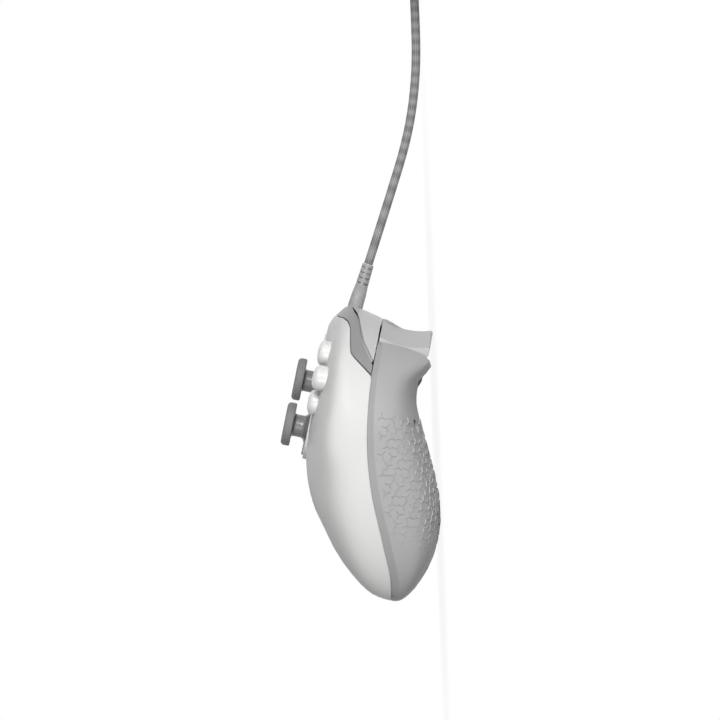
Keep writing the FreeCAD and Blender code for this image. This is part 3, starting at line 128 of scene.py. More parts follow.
# ABS, moulded in an eroded tool: a soft sheen, broken up by grit. The real grit is finer, about 0.1 mm, and
# is drawn at 0.35 mm so that it shows.
SHELL_WHITE = finish_material("moulded_abs_white", "efefee", 0.46, 0.35, 0.006, ior=1.53, darker=0.975,
                              sheen_level=0.22)
SHELL_GREY = finish_material("moulded_abs_grey", "bababa", 0.5, 0.35, 0.008, ior=1.53, sheen_level=0.3)
# The same ABS from a polished part of the tool: the border is smoother than the grit beside it, and its
# darker grey is painted shade for its slope.
BORDER_PAINTED_SHADE_GREY = finish_material("moulded_abs_border_painted_shade", "b0b0b0", 0.34, 0.8, 0.003, ior=1.53, sheen_level=0.3)
# A darker ABS with a fine grain: an even band without glare.
TRIM_GREY = finish_material("moulded_abs_dark_grey", "a0a0a0", 0.42, 0.35, 0.005, ior=1.53)
# Satin ABS: the bumpers and the bridge shine a little more than the shells.
BUMPER_GREY = finish_material("moulded_abs_satin", "d8d8d8", 0.34, 0.4, 0.003, ior=1.53)
# ABS with a dry grain for the fingertip: soft, wide highlights.
TRIGGER_GREY = finish_material("moulded_abs_trigger", "d3d3d3", 0.48, 0.35, 0.007, ior=1.53,
                               sheen_level=0.3)
# Acrylic caps, polished in the mould: a small bright highlight on each crown.
BUTTON_WHITE = finish_material("polished_acrylic_white", "f0f0ef", 0.22, 0.8, 0.002, ior=1.49, darker=0.98,
                               coat=0.3)
# ABS, polished in the mould: clear edges to its highlights.
CROSS_GREY = finish_material("polished_abs_grey", "a8a8a8", 0.26, 0.8, 0.002, ior=1.53)
# Pad-printed ink, a little proud of the caps: matt and dull beside the acrylic.
NUMBER_INK = finish_material("printed_ink_grey", "6a6a6a", 0.5, 0.3, 0.002)
# Thermoplastic rubber, moulded: matt, with a fine dusty mottling.
STICK_RUBBER = finish_material("moulded_rubber_grey", "8b8b8b", 0.62, 0.25, 0.012, ior=1.52, darker=0.88)
# Acetal, polished by its mould: a narrow highlight down the stem.
STEM_PLASTIC = finish_material("polished_acetal_grey", "848484", 0.24, 0.8, 0.002, ior=1.48)
# Soft PVC, moulded over the plug: evenly dull.
BOOT_RUBBER = finish_material("moulded_pvc_grey", "b0b0b0", 0.5, 0.3, 0.008, ior=1.53)
# Moulded silicone: pale and waxy. The real one lets light through, and is drawn opaque as the shells hide it.
SILICONE = finish_material("silicone_translucent", "d6d6d0", 0.55, 0.5, 0.004, ior=1.41)
# Black ABS: the dull inner carriers, seen only through the openings.
INNER_PLASTIC = finish_material("moulded_abs_black", "2a2a2b", 0.5, 0.35, 0.006, ior=1.53)
# Glass and epoxy laminate under a green solder mask: the weave just shows in its shine.
BOARD_GREEN = finish_material("glass_epoxy_green", "1f5d3a", 0.35, 0.2, 0.004, ior=1.55, darker=0.8)
# Drawn steel: bright, with fine drawing marks.
STEEL = finish_material("drawn_steel", "b8b8b8", 0.28, 0.15, 0.001, metallic=1.0)
# Nickel plate: warmer and glossier than the steel.
NICKEL = finish_material("nickel_plate", "cdcbc6", 0.2, 0.3, 0.001, metallic=1.0)
# Sintered brass: dull, grainy and yellow.
SINTERED = finish_material("sintered_brass", "a58a54", 0.45, 0.2, 0.01, metallic=1.0, darker=0.85)
# Woven nylon: a black tape without shine.
STRAP = finish_material("woven_nylon_black", "2c2c2c", 0.8, 0.3, 0.02, darker=0.7)
# The braid's run is about the cable's length and its strands repeat every 3.2 mm, both in metres. The real
# strands are finer and more in number, and are drawn coarser so that they show.
CABLE_RUN, STRAND_REPEAT, STRANDS = 2.033, 0.0032, 6


def braid_material():
    """Braided nylon: flat strands that cross in diamonds, 1.6 mm long, with painted light on their tops and
    painted shade between them.
    """
    material = finish_material("braided_nylon_grey", "939393", 0.62, 0.12, 0.01, darker=0.9)
    tree = material.node_tree
    shader = tree.nodes["Principled BSDF"]
    along = add(tree, "ShaderNodeSeparateXYZ", {"Vector": add(tree, "ShaderNodeTexCoord").outputs["UV"]})
    turns = CABLE_RUN / STRAND_REPEAT
    waves = []
    for hand in (1, -1):
        run = add(tree, "ShaderNodeMath", {0: along.outputs["X"], 1: turns * 2 * math.pi},
                  operation="MULTIPLY")
        round_it = add(tree, "ShaderNodeMath", {0: along.outputs["Y"], 1: hand * STRANDS * 2 * math.pi},
                       operation="MULTIPLY")
        both = add(tree, "ShaderNodeMath", {0: run.outputs[0], 1: round_it.outputs[0]}, operation="ADD")
        waves.append(add(tree, "ShaderNodeMath", {0: both.outputs[0]}, operation="SINE").outputs[0])
    top = add(tree, "ShaderNodeMath", {0: waves[0], 1: waves[1]}, operation="MULTIPLY")
    lift = add(tree, "ShaderNodeMapRange", {"Value": top.outputs[0], "From Min": -1.0, "To Min": 0.0})
    # The strands' tops are painted lighter and the hollows between them darker: painted light and shade that
    # follow the weave's height.
    weave_painted_shade = add(tree, "ShaderNodeMix", {"Factor": lift.outputs["Result"], "A": linear("6e6e6e"),
                                         "B": linear("b0b0b0")}, data_type="RGBA")
    tree.links.new(weave_painted_shade.outputs["Result"], shader.inputs["Base Color"])
    bump = add(tree, "ShaderNodeBump", {"Height": lift.outputs["Result"], "Strength": 1.0,
                                        "Distance": 0.12 * MM})
    tree.links.new(bump.outputs["Normal"], shader.inputs["Normal"])
    return material


BRAID = braid_material()


def seen_directly(tree):
    """1 for camera, mirror and glass rays, 0 for the rest."""
    path = add(tree, "ShaderNodeLightPath")
    seen = add(tree, "ShaderNodeMath",
               {0: path.outputs["Is Camera Ray"], 1: path.outputs["Is Glossy Ray"]}, operation="MAXIMUM")
    return add(tree, "ShaderNodeMath", {0: seen.outputs[0], 1: path.outputs["Is Transmission Ray"]},
               operation="MAXIMUM").outputs[0]


def pale_ground():
    """A pale floor that keeps the shadow near the pad and turns white away from it."""
    material = bpy.data.materials.new("pale_floor")
    material.use_nodes = True
    tree = material.node_tree
    shader = tree.nodes["Principled BSDF"]
    shader.inputs["Base Color"].default_value = linear("f2f2f2")
    shader.inputs["Roughness"].default_value = 0.9
    away = add(tree, "ShaderNodeVectorMath", {0: add(tree, "ShaderNodeTexCoord").outputs["Object"]},
               operation="LENGTH")
    share = add(tree, "ShaderNodeMapRange",
                {"Value": away.outputs["Value"], "From Min": 0.05, "From Max": 0.2, "To Min": 0.9,
                 "To Max": 1.0}, interpolation_type="SMOOTHSTEP")
    factor = add(tree, "ShaderNodeMath", {0: seen_directly(tree), 1: share.outputs["Result"]},
                 operation="MULTIPLY")
    glow = add(tree, "ShaderNodeEmission", {"Color": (1, 1, 1, 1), "Strength": 1.0})
    mix = add(tree, "ShaderNodeMixShader", {0: factor.outputs[0], 1: shader.outputs[0], 2: glow.outputs[0]})
    tree.links.new(mix.outputs[0], tree.nodes["Material Output"].inputs["Surface"])
    return material


# In metres: the floor, the camera's place and what it takes in, and each lamp's place and size, then watts.
FLOOR_REACH, FLOOR_LEVEL = 2, -0.0002
CAMERA_DISTANCE, FRAME_HEIGHT, FRAME_PLANE, SENSOR_MM = 2.5, 0.2808, 0.055, 36.0
CAMERA_Y, CAMERA_Z, CAMERA_UP = 0.0366, 0.029, (0, 0.99933, -0.0365)
ROOM_LIGHT = 0.13
LAMPS = [("side_key", (1.8, 1.0, 0.15), 0.8, 39.0), ("camera_fill", (1.9, -0.6, 0.05), 1.0, 11.5),
         ("back_fill", (-1.7, 0.5, 0.8), 1.4, 1.5)]
LAMP_AIM = (0, 0.03, 0.03)


def stage():
    """Floor, white surroundings, soft lamps and the camera."""
    mesh = bpy.data.meshes.new("floor")
    corners = [(x * FLOOR_REACH, y * FLOOR_REACH, FLOOR_LEVEL)
               for x, y in ((-1, -1), (1, -1), (1, 1), (-1, 1))]
    mesh.from_pydata(corners, [], [[0, 1, 2, 3]])
    floor = bpy.data.objects.new("floor", mesh)
    bpy.context.scene.collection.objects.link(floor)
    mesh.materials.append(pale_ground())
    world = bpy.data.worlds.new("white_room")
    world.use_nodes = True
    bpy.context.scene.world = world
    tree = world.node_tree
    ground = tree.nodes["Background"]
    level = add(tree, "ShaderNodeMapRange",
                {"Value": seen_directly(tree), "To Min": ROOM_LIGHT, "To Max": 1.0})
    ground.inputs["Color"].default_value = (1, 1, 1, 1)
    tree.links.new(level.outputs["Result"], ground.inputs["Strength"])
    for name, spot, size, power in LAMPS:
        lamp = bpy.data.lights.new(name, "AREA")
        lamp.size = size
        lamp.energy = power
        thing = bpy.data.objects.new(name, lamp)
        bpy.context.scene.collection.objects.link(thing)
        thing.location = spot
        thing.rotation_euler = (Vector(LAMP_AIM) - Vector(spot)).to_track_quat("-Z", "Y").to_euler()
    eye = bpy.data.cameras.new("side_camera")
    camera = bpy.data.objects.new("side_camera", eye)
    bpy.context.scene.collection.objects.link(camera)
    eye.sensor_width = SENSOR_MM
    eye.lens = SENSOR_MM * (CAMERA_DISTANCE - FRAME_PLANE) / FRAME_HEIGHT
    eye.clip_start, eye.clip_end = 0.1, 50.0
    back = Vector((1, 0, 0))
    up = Vector(CAMERA_UP).normalized()
    right = up.cross(back)
    camera.matrix_world = Matrix.Translation((CAMERA_DISTANCE, CAMERA_Y, CAMERA_Z)) @ Matrix(
        (right, up, back)).transposed().to_4x4()
    bpy.context.scene.camera = camera
    bpy.context.scene.view_settings.view_transform = "Standard"


stage()


def mesh_object(name, verts, faces, material, lie=LIE):
    """A mesh object from points in the pad's frame, laid down in the row's."""
    mesh = bpy.data.meshes.new(name)
    mesh.from_pydata([lie @ Vector(point) for point in verts], [], faces)
    mesh.update()
    thing = bpy.data.objects.new(name, mesh)
    bpy.context.scene.collection.objects.link(thing)
    if material:
        mesh.materials.append(material)
    return thing


def round_off(thing, angle=35.0):
    """Smooth shading, except over edges that are really sharp."""
    thing.data.shade_smooth()
    thing.data.set_sharp_from_angle(angle=math.radians(angle))
    return thing


def outward(thing):
    """Turns every face outwards."""
    work = bmesh.new()
    work.from_mesh(thing.data)
    bmesh.ops.remove_doubles(work, verts=work.verts, dist=1e-7)
    bmesh.ops.recalc_face_normals(work, faces=work.faces)
    work.to_mesh(thing.data)
    work.free()
    return thing


def boolean(thing, tool, operation):
    """Applies one exact cut or crossing, and removes the tool."""
    step = thing.modifiers.new(operation.lower(), "BOOLEAN")
    step.operation = operation
    step.solver = "EXACT"
    step.object = tool
    found = bpy.data.meshes.new_from_object(thing.evaluated_get(bpy.context.evaluated_depsgraph_get()))
    thing.modifiers.clear()
    old = thing.data
    thing.data = found
    bpy.data.meshes.remove(old)
    bpy.data.objects.remove(tool)
    return thing


def place(thing, body, slot, *nodes):
    """Puts a piece on its body and hides the solids that it stands for. Its slot is not used."""
    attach(thing, body)
    if nodes:
        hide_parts(*nodes)
    return thing


def strips(rows, ring):
    """The faces between rings of points that follow each other."""
    return [[row * ring + step, row * ring + (step + 1) % ring,
             (row + 1) * ring + (step + 1) % ring, (row + 1) * ring + step]
            for row in range(rows) for step in range(ring)]


def lathe(name, profile, centre, material, segments=96, lie=LIE):
    """A profile of radius and height, turned about an axis along the pad's Z."""
    verts, faces, rings = [], [], []
    for radius, height in profile:
        if radius < 1e-6:
            rings.append([len(verts)])
            verts.append((centre[0], centre[1], height))
            continue
        rings.append(range(len(verts), len(verts) + segments))
        for step in range(segments):
            turn = 2 * math.pi * step / segments
            verts.append((centre[0] + radius * math.cos(turn), centre[1] + radius * math.sin(turn),
                          height))
    for low, high in zip(rings, rings[1:]):
        for step in range(segments):
            after = (step + 1) % segments
            corners = [low[step % len(low)], low[after % len(low)],
                       high[after % len(high)], high[step % len(high)]]
            faces.append([c for index, c in enumerate(corners) if c not in corners[:index]])
    return outward(mesh_object(name, verts, faces, material, lie))


def arc(centre_r, centre_z, radius, start, end, steps=8):
    """Points of a round corner in a lathe profile, by angles in degrees."""
    return [(centre_r + radius * math.cos(math.radians(start + (end - start) * step / steps)),
             centre_z + radius * math.sin(math.radians(start + (end - start) * step / steps)))
            for step in range(steps + 1)]


def bar(radius, low, high, centre, segments=64):
    """A round cutter along the pad's Z."""
    return lathe("cutter", [(0, low), (radius, low), (radius, high), (0, high)], centre, None, segments)


def box_cutter(length, width, low, high, centre, turn=0.0, radius=0.0):
    """A straight cutter, turned about the pad's Z, with its corners rounded."""
    points = []
    steps = 6
    for quarter, (sx, sy) in enumerate(((1, 1), (-1, 1), (-1, -1), (1, -1))):
        for step in range(steps + 1 if radius else 1):
            angle = math.pi / 2 * (quarter + step / steps)
            points.append((sx * (length / 2 - radius) + radius * math.cos(angle),
                           sy * (width / 2 - radius) + radius * math.sin(angle)))
    turned = [(centre[0] + x * math.cos(turn) - y * math.sin(turn),
               centre[1] + x * math.sin(turn) + y * math.cos(turn)) for x, y in points]
    count = len(turned)
    verts = [(x, y, z) for z in (low, high) for x, y in turned]
    faces = [list(range(count))[::-1], list(range(count, 2 * count))] + strips(1, count)
    return mesh_object("cutter", verts, faces, None)


# The port in the bridge: its frame, tipped down by 5.7 degrees, with its Y along the cable's way out, and
# the two blocks cut for it: width, height, corner, and where each starts and ends along that way.
PORT = LIE @ Matrix.Translation((0, 48.8, -8.6)) @ Matrix.Rotation(math.radians(-5.7), 4, "X")
PLUG_OPENING, BOOT_RECESS = (9.8, 4.0, 0.4, -8.0, 4.0), (12.6, 6.8, 2.9, -0.8, 8.2)


def box_at_port(width, height, corner, near, far):
    """A rounded block along the cable's way out, in the port's own frame."""
    block = box_cutter(width, height, -far, -near, (0, 0), radius=corner)
    block.data.transform(PORT @ Matrix.Rotation(math.pi / 2, 4, "X") @ LIE.inverted())
    return block


# The cable's route is in the row's frame, in millimetres, by the same points as its solids. The coil stands
# a tie's thickness and a little air above the table.
CABLE_RADIUS = 1.75
COIL_X, COIL_Y, COIL_INNER, COIL_PITCH = 26.6, 222.0, 15.0, 3.95
COIL_LAYERS, LAYER_TURNS, COIL_TURNS, TURN_POINTS = 4, 3.5, 13.25, 16
COIL_FOOT = 0.6 + 0.1 + CABLE_RADIUS
LEAD = [(0.2, 100.3, 15.1), (0.8, 126.5, 6.1), (2.6, 151.0, 2.2), (2.2, 176.0, 2.0)]
BOOT_FOOT, OVERMOULD, RELIEF = -0.4, 9.2, 9.5
# The boot's sections, each with its place along it, half width, half height and corner.
BOOT_SECTIONS = [(0.0, 5.5, 2.6, 2.2), (0.35, 5.9, 2.9, 2.4), (1.2, 6.0, 3.0, 2.6), (5.0, 5.9, 2.9, 2.6),
                 (7.4, 5.2, 2.75, 2.6), (9.0, 3.6, 2.6, 2.5), (9.8, 2.9, 2.5, 2.4)]
SLOT_ROWS, SLOT_PITCH, SLOT_WIDTH, SLOT_RIM = 4, 2.1, 0.9, 4.0


def coil_place(turn):
    """A point of the coil: its spiral runs in and out, and climbs a layer in each half turn of reversal."""
    level = min(COIL_LAYERS - 1, int(turn / LAYER_TURNS + 1e-9))
    share = (turn - level * LAYER_TURNS) / LAYER_TURNS
    outer = COIL_INNER + COIL_PITCH * LAYER_TURNS
    radius = COIL_INNER + (outer - COIL_INNER) * share
    if level % 2 == 0:
        radius = outer - (outer - COIL_INNER) * share
    z = level * COIL_PITCH
    for reversal in range(1, COIL_LAYERS):
        away = turn - reversal * LAYER_TURNS
        if abs(away) < 0.25:
            z = (reversal - 0.5 + 2 * away) * COIL_PITCH
    angle = math.pi - 2 * math.pi * turn
    wide = radius / math.cos(math.pi / TURN_POINTS)
    return (COIL_X + wide * math.cos(angle), COIL_Y + wide * math.sin(angle), COIL_FOOT + z)


def cable():
    """The braided cable on its route: the free lead, the coil and the tail."""
    start = PORT @ Vector((0, BOOT_FOOT + OVERMOULD + RELIEF, 0)) / MM
    outer = COIL_INNER + COIL_PITCH * LAYER_TURNS
    lead = [tuple(start)] + LEAD + [(COIL_X - outer, 200.0, COIL_FOOT)]
    coil = [coil_place(step / TURN_POINTS) for step in range(int(COIL_TURNS * TURN_POINTS) + 1)]
    last = Vector(coil[-1])
    last.y = COIL_Y + (last.y - COIL_Y) * math.cos(math.pi / TURN_POINTS)
    tail = [(last.x + 13, last.y, last.z), (last.x + 28, last.y - 1.5, last.z - 3.0),
            (COIL_X + outer + 11.2, last.y - 13, 6.0), (COIL_X + outer + 11.7, last.y - 27, 3.9)]
    points = lead + coil[:-1] + [tuple(last)] + tail
    curve = bpy.data.curves.new("braided_cable", "CURVE")
    curve.dimensions = "3D"
    spline = curve.splines.new("NURBS")
    spline.points.add(len(points) - 1)
    for knot, point in zip(spline.points, points):
        knot.co = (*[c * MM for c in point], 1.0)
    spline.order_u = 3
    spline.use_endpoint_u = True
    spline.resolution_u = 6
    curve.bevel_depth = CABLE_RADIUS * MM
    curve.bevel_resolution = 6
    curve.use_fill_caps = True
    curve.materials.append(BRAID)
    thing = bpy.data.objects.new("braided_cable", curve)
    bpy.context.scene.collection.objects.link(thing)
    place(thing, "pad", "cable_braid", "cable_lead", "cable_coil", "cable_tail")
    return thing, [c * MM for c in points[0]]


def boot():
    """The plug's overmould, drawn down to a slotted relief."""
    stops = BOOT_SECTIONS + [(10.0 + 0.45 * step, 2.6 - 0.015 * step, 2.5 - 0.012 * step, 2.4)
                             for step in range(1, 20)]
    verts = []
    ring = 48
    for y, half_x, half_z, corner in stops:
        cut = min(corner, half_x, half_z)
        for step in range(ring):
            angle = 2 * math.pi * (step + 0.5) / ring
            cx = math.copysign(half_x - cut, math.cos(angle))
            cz = math.copysign(half_z - cut, math.sin(angle))
            verts.append((cx + cut * math.cos(angle), y + BOOT_FOOT, cz + cut * math.sin(angle)))
    faces = strips(len(stops) - 1, ring)
    faces += [list(range(ring)), list(range((len(stops) - 1) * ring, len(stops) * ring))[::-1]]
    thing = outward(mesh_object("strain_relief_boot", verts, faces, BOOT_RUBBER, PORT))
    around = PORT @ Matrix.Rotation(-math.pi / 2, 4, "X")
    for row in range(SLOT_ROWS):
        y = OVERMOULD + BOOT_FOOT + SLOT_WIDTH + SLOT_PITCH * row
        outline = [(CABLE_RADIUS, y), (CABLE_RADIUS, y + SLOT_WIDTH), (SLOT_RIM, y + SLOT_WIDTH),
                   (SLOT_RIM, y), (CABLE_RADIUS, y)]
        groove = lathe("groove", outline, (0, 0), None, ring, around)
        for size in ((9.0, SLOT_WIDTH), (SLOT_WIDTH, 9.0)):
            boolean(groove, box_at_port(*size, 0, y - 1, y + 2), "DIFFERENCE")
        boolean(thing, groove, "DIFFERENCE")
    return place(round_off(thing, 40), "pad", "cable_rubber", "cable_boot")


cord, cord_exit = cable()
relief = boot()


# The form of the pad, by the same curves as its solids, but drawn smooth.
HALF_WIDTH, TOP_REACH, MIDDLE_BOTTOM, GRIP_BOTTOM, GRIP_LINE = 78.0, 46.7, -18.5, -60.6, 57.0
NOSE_REACH, WALL, SEAM, TRIGGER_SEAM, SIDE_TOP, SIDE_BOTTOM = 3.3, 2.2, 0.3, -20.1, -2.0, -14.0
PARTING = [(50, -20.5), (24, -20.5), (0, -23.4), (-20, -29.1), (-40, -37.9), (-52, -43.1), (-61, -45.3)]
FRONT = [(50, 0.5), (37, 0.4), (22, 0.0), (-5, 0.0), (-18, -1.0), (-31, -4.8), (-41, -10.3), (-49, -15.6),
         (-60, -26)]
REAR_MIDDLE = [(50, -33), (20, -36), (0, -36), (-20, -33)]
REAR_GRIP = [(45, -51), (33.5, -50.2), (29.5, -45.6), (25, -40.8), (19, -39.8), (9, -43.5), (-9, -52.2),
             (-23, -57.8), (-40, -60), (-52, -57.5), (-60, -54)]


def smooth(share):
    """Eases from 0 to 1."""
    share = min(1.0, max(0.0, share))
    return share * share * (3 - 2 * share)


def swell(share, fullness):
    """A rise from 0 to 1 that is steeper at its foot, the more so the fuller it is."""
    return (1 + fullness) * share / (1 + fullness * share)


def height_at(knots, y):
    """A smooth curve through knots, straight beyond its ends."""
    knots = sorted(knots)
    last = len(knots) - 1
    slopes = [(knots[min(k + 1, last)][1] - knots[max(k - 1, 0)][1])
              / (knots[min(k + 1, last)][0] - knots[max(k - 1, 0)][0]) for k in range(last + 1)]
    if y <= knots[0][0]:
        return knots[0][1] + (y - knots[0][0]) * slopes[0]
    if y >= knots[last][0]:
        return knots[last][1] + (y - knots[last][0]) * slopes[last]
    k = max(index for index in range(last) if knots[index][0] <= y)
    span = knots[k + 1][0] - knots[k][0]
    t = (y - knots[k][0]) / span
    return ((2 * t ** 3 - 3 * t ** 2 + 1) * knots[k][1] + (t ** 3 - 2 * t ** 2 + t) * span * slopes[k]
            + (3 * t ** 2 - 2 * t ** 3) * knots[k + 1][1] + (t ** 3 - t ** 2) * span * slopes[k + 1])


def edge_top(x, inset):
    """How far the pad reaches away from the player at a station."""
    reach = max(0.0, 1 - (max(0.0, abs(x) - 20) / (HALF_WIDTH - inset - 20)) ** 2.4)
    return SIDE_TOP + (TOP_REACH - inset - SIDE_TOP) * math.sqrt(reach)


def edge_bottom(x, inset):
    """How far the pad reaches towards the player at a station."""
    x = abs(x)
    deep = GRIP_BOTTOM + inset
    if x < GRIP_LINE:
        return MIDDLE_BOTTOM + inset + (deep - MIDDLE_BOTTOM - inset) * smooth((x - 22 - inset) / 34)
    reach = max(0.0, 1 - ((x - GRIP_LINE) / (HALF_WIDTH - inset - GRIP_LINE)) ** 2)
    return SIDE_BOTTOM + (deep - SIDE_BOTTOM) * math.sqrt(reach)


def section_point(x, angle, inset, front):
    """A point of a section: angle 0 is its far end, 180 degrees its near end."""
    reach = math.sqrt(max(0.0, 1 - (x / (HALF_WIDTH - inset)) ** 2))
    top, bottom = edge_top(x, inset), edge_bottom(x, inset)
    along, up = math.cos(angle), math.sin(angle)
    y = (top + bottom) / 2 + (top - bottom) / 2 * along
    middle = height_at(PARTING, y)
    if front:
        rise = height_at(FRONT, y) - inset - middle
        near = 2.2 + 12 * (1 - smooth((abs(x) - 26) / 22))
        brow = 0.19 * smooth((up - 0.38) / 0.2) * (1 - up) * (1 - smooth((abs(x) - 24) / 20))
        bulge = swell(up, 6.0) + brow if along > 0 else swell(up, near)
        z = middle + rise * swell(reach, 2 + 3 * smooth((y + 20) / 20)) * bulge
        z -= 1.8 * max(0.0, (abs(x) - 25) / 30) ** 2 * up * reach
        if along > 0 and up < 0.55:
            nose = NOSE_REACH * math.sin(math.pi * (up / 0.55) ** 0.8)
            y += nose * (1 - 0.6 * smooth((abs(x) - 20) / 40))
        return (x, y, z)
    grip = smooth((abs(x) - 18) / 34)
    drop = (1 - grip) * height_at(REAR_MIDDLE, y) + grip * height_at(REAR_GRIP, y) + inset - middle
    fill = swell(reach, 3.0) / swell(math.sqrt(1 - (50.0 / HALF_WIDTH) ** 2), 3.0) ** grip
    if along > 0:
        hollow_in = 1.7 * smooth((up - 0.04) / 0.1) * (1 - smooth((up - 0.2) / 0.3))
        y -= hollow_in * (1 - smooth((abs(x) - 30) / 14))
    return (x, y, middle + drop * min(1.02, fill) * swell(up, 3.0 if along > 0 else 2.2))


def form(inset, stations, steps, flip=False):
    """Points and faces of the whole pad, drawn in from its skin by an inset."""
    width = HALF_WIDTH - inset
    angles = [math.pi / 2 * (1 - math.cos(math.pi * step / steps)) for step in range(steps + 1)]
    verts = []
    ring = 2 * steps
    for turn in range(-stations, stations + 1):
        x = width * math.sin(math.radians(89.0 * turn / stations))
        verts += [section_point(x, angle, inset, True) for angle in angles]
        verts += [section_point(x, angle, inset, False) for angle in angles[-2:0:-1]]
    faces = strips(2 * stations, ring)
    faces += [list(range(ring))[::-1], list(range(2 * stations * ring, (2 * stations + 1) * ring))]
    return verts, [face[::-1] for face in faces] if flip else faces


# Stations to each side of the middle and steps over each half of a section: for the skin, for a layer in it,
# for the side within and for an end of the bridge.
SKIN_GRID, LAYER_GRID, WITHIN_GRID, END_GRID = (60, 30), (50, 24), (30, 16), (40, 20)
SKIN_POINTS, SKIN_FACES = form(0.0, *SKIN_GRID)
SKIN = BVHTree.FromPolygons([Vector(point) for point in SKIN_POINTS], SKIN_FACES)


def layer(name, material, outer, inner, grid=LAYER_GRID):
    """A layer of the pad's form between two insets."""
    verts, faces = form(outer, *grid)
    within, inner_faces = form(inner, *WITHIN_GRID, flip=True)
    faces += [[index + len(verts) for index in face] for face in inner_faces]
    return mesh_object(name, verts + within, faces, material)


def hollow(name, material):
    """The pad's whole skin, as thick as its wall."""
    return layer(name, material, 0.0, WALL, SKIN_GRID)


def prism(points, x_from=-90.0, x_to=90.0):
    """A region of the side view, taken straight across the pad."""
    count = len(points)
    verts = [(x, y, z) for x in (x_from, x_to) for y, z in points]
    faces = [list(range(count)), list(range(2 * count - 1, count - 1, -1))] + strips(1, count)
    return outward(mesh_object("region", verts, faces, None))


# The trim's two edges in the side view, in Y and Z, and the Y where its far edge meets the triggers' seam.
TRIM_FRONT = [(23.9, -20.1), (30.4, -11.0), (32.4, -10.2), (40.3, -8.7), (42.6, -7.4), (43.9, -5.2),
              (44.0, -3.0), (46.0, 4.0)]
TRIM_FOOT = 27.9
TRIM_REAR = [(28.9, -19.4), (35.9, -14.4), (40.3, -12.7), (45.8, -10.4), (49.1, -7.0), (60.0, -7.0)]
HALF_SEAM = SEAM / 2


def shifted(points, y, z):
    """Points moved sideways, for the gap at a seam."""
    return [(point[0] + y, point[1] + z) for point in points]


def eased(points, steps=6):
    """A line through points, with the last three tenths of each run bent round its corner."""
    found = [points[0]]
    for before, corner, after in zip(points, points[1:], points[2:]):
        for step in range(1, steps):
            t = step / steps
            low = [corner[k] + (before[k] - corner[k]) * 0.3 for k in (0, 1)]
            high = [corner[k] + (after[k] - corner[k]) * 0.3 for k in (0, 1)]
            found.append(tuple((1 - t) ** 2 * low[k] + 2 * t * (1 - t) * corner[k] + t ** 2 * high[k]
                               for k in (0, 1)))
    return found + [points[-1]]


def long_seam(lift):
    """The seam between face and back, moved by half its gap."""
    stops = [23.9 - 2.0 * step for step in range(50)]
    return [(y, height_at(PARTING, y) + lift) for y in stops]


FRONT_LINE = eased(TRIM_FRONT)
REAR_LINE = eased(TRIM_REAR)


def white_face():
    """The white front shell with its openings."""
    shell = hollow("white_front_shell", SHELL_WHITE)
    edge = shifted(FRONT_LINE, -HALF_SEAM, HALF_SEAM)
    boolean(shell, prism([(-75, 30), (60, 30)] + edge[::-1] + long_seam(HALF_SEAM)[1:]), "INTERSECT")
    for x, y in STICKS.values():
        boolean(shell, bar(STICK_HOLE, -12, 12, (x, y)), "DIFFERENCE")
    for x, y, _ in BUTTONS.values():
        boolean(shell, bar(BUTTON_HOLE, -12, 12, (x, y)), "DIFFERENCE")
    for x, y, radius, _ in SMALL_BUTTONS.values():
        boolean(shell, bar(radius + SMALL_BUTTON_GAP, -12, 12, (x, y)), "DIFFERENCE")
    for length, width in (CROSS_HOLE, CROSS_HOLE[::-1]):
        boolean(shell, box_cutter(length, width, -12, 12, CROSS, radius=0.3), "DIFFERENCE")
    jack = LIE @ Matrix.Translation((0, -21, -20)) @ Matrix.Rotation(-math.pi / 2, 4, "X")
    outline = [(0, 0), (JACK_HOLE, 0), (JACK_HOLE, 6), (0, 6)]
    boolean(shell, lathe("cutter", outline, (0, 0), None, 48, jack), "DIFFERENCE")
    return place(round_off(shell), "pad", "white_plastic", "front_faceplate")


# The sloping border along the seam: its place along the pad, its width, and its depth at the seam.
BORDER = [(38, 2.0, 1.4), (20, 2.1, 1.4), (8, 2.3, 1.15), (-8, 2.7, 0.8), (-24, 3.1, 0.7), (-40, 3.3, 0.9),
          (-54, 3.2, 1.3), (-60, 2.6, 1.3)]
BORDER_START, BORDER_RUN, BORDER_ROWS, BORDER_STEPS = 37.5, 96.5, 80, 5
BORDER_LIFT, BORDER_EDGE = 0.5, 0.03


def border_wedge(side):
    """What the sloping border takes off the grey shell, along the long seam of one grip."""
    wide_at = [(y, wide) for y, wide, _ in BORDER]
    deep_at = [(y, deep) for y, _, deep in BORDER]
    points = []
    ring = 2 * (BORDER_STEPS + 1)
    for row in range(BORDER_ROWS + 1):
        y = BORDER_START - BORDER_RUN * row / BORDER_ROWS
        wide = height_at(wide_at, y)
        outer, inner = [], []
        for step in range(BORDER_STEPS + 1):
            share = step / BORDER_STEPS
            # The border's first end is slanted.
            down = y - 0.9 * share * (row == 0)
            z = height_at(PARTING, down) + BORDER_LIFT - (wide + BORDER_LIFT) * share
            within = side * (50.0 if down > 0 else GRIP_LINE)
            hit, _, _, _ = SKIN.ray_cast(Vector((within, down, z)), Vector((side, 0, 0)))
            deep = BORDER_EDGE + (height_at(deep_at, down) - BORDER_EDGE) * (1 - share)
            inner.append((hit.x - side * deep, down, z))
            outer.append((hit.x + side * 2.0, down, z))
        points += inner + outer[::-1]
    faces = strips(BORDER_ROWS, ring)
    faces += [list(range(ring)), list(range(BORDER_ROWS * ring, (BORDER_ROWS + 1) * ring))[::-1]]
    wedge = outward(mesh_object("wedge", points, faces, SHELL_GREY))
    # The border's faces take the darker grey: painted shade for their slope.
    wedge.data.materials.append(BORDER_PAINTED_SHADE_GREY)
    for face in wedge.data.polygons:
        face.material_index = 1
    return wedge


def crease_cut(thing):
    """Keeps the edge of a cut sharp where its faces meet the skin."""
    work = bmesh.new()
    work.from_mesh(thing.data)
    for edge in work.edges:
        if len({face.material_index for face in edge.link_faces}) > 1:
            edge.smooth = False
    work.to_mesh(thing.data)
    work.free()
    return thing


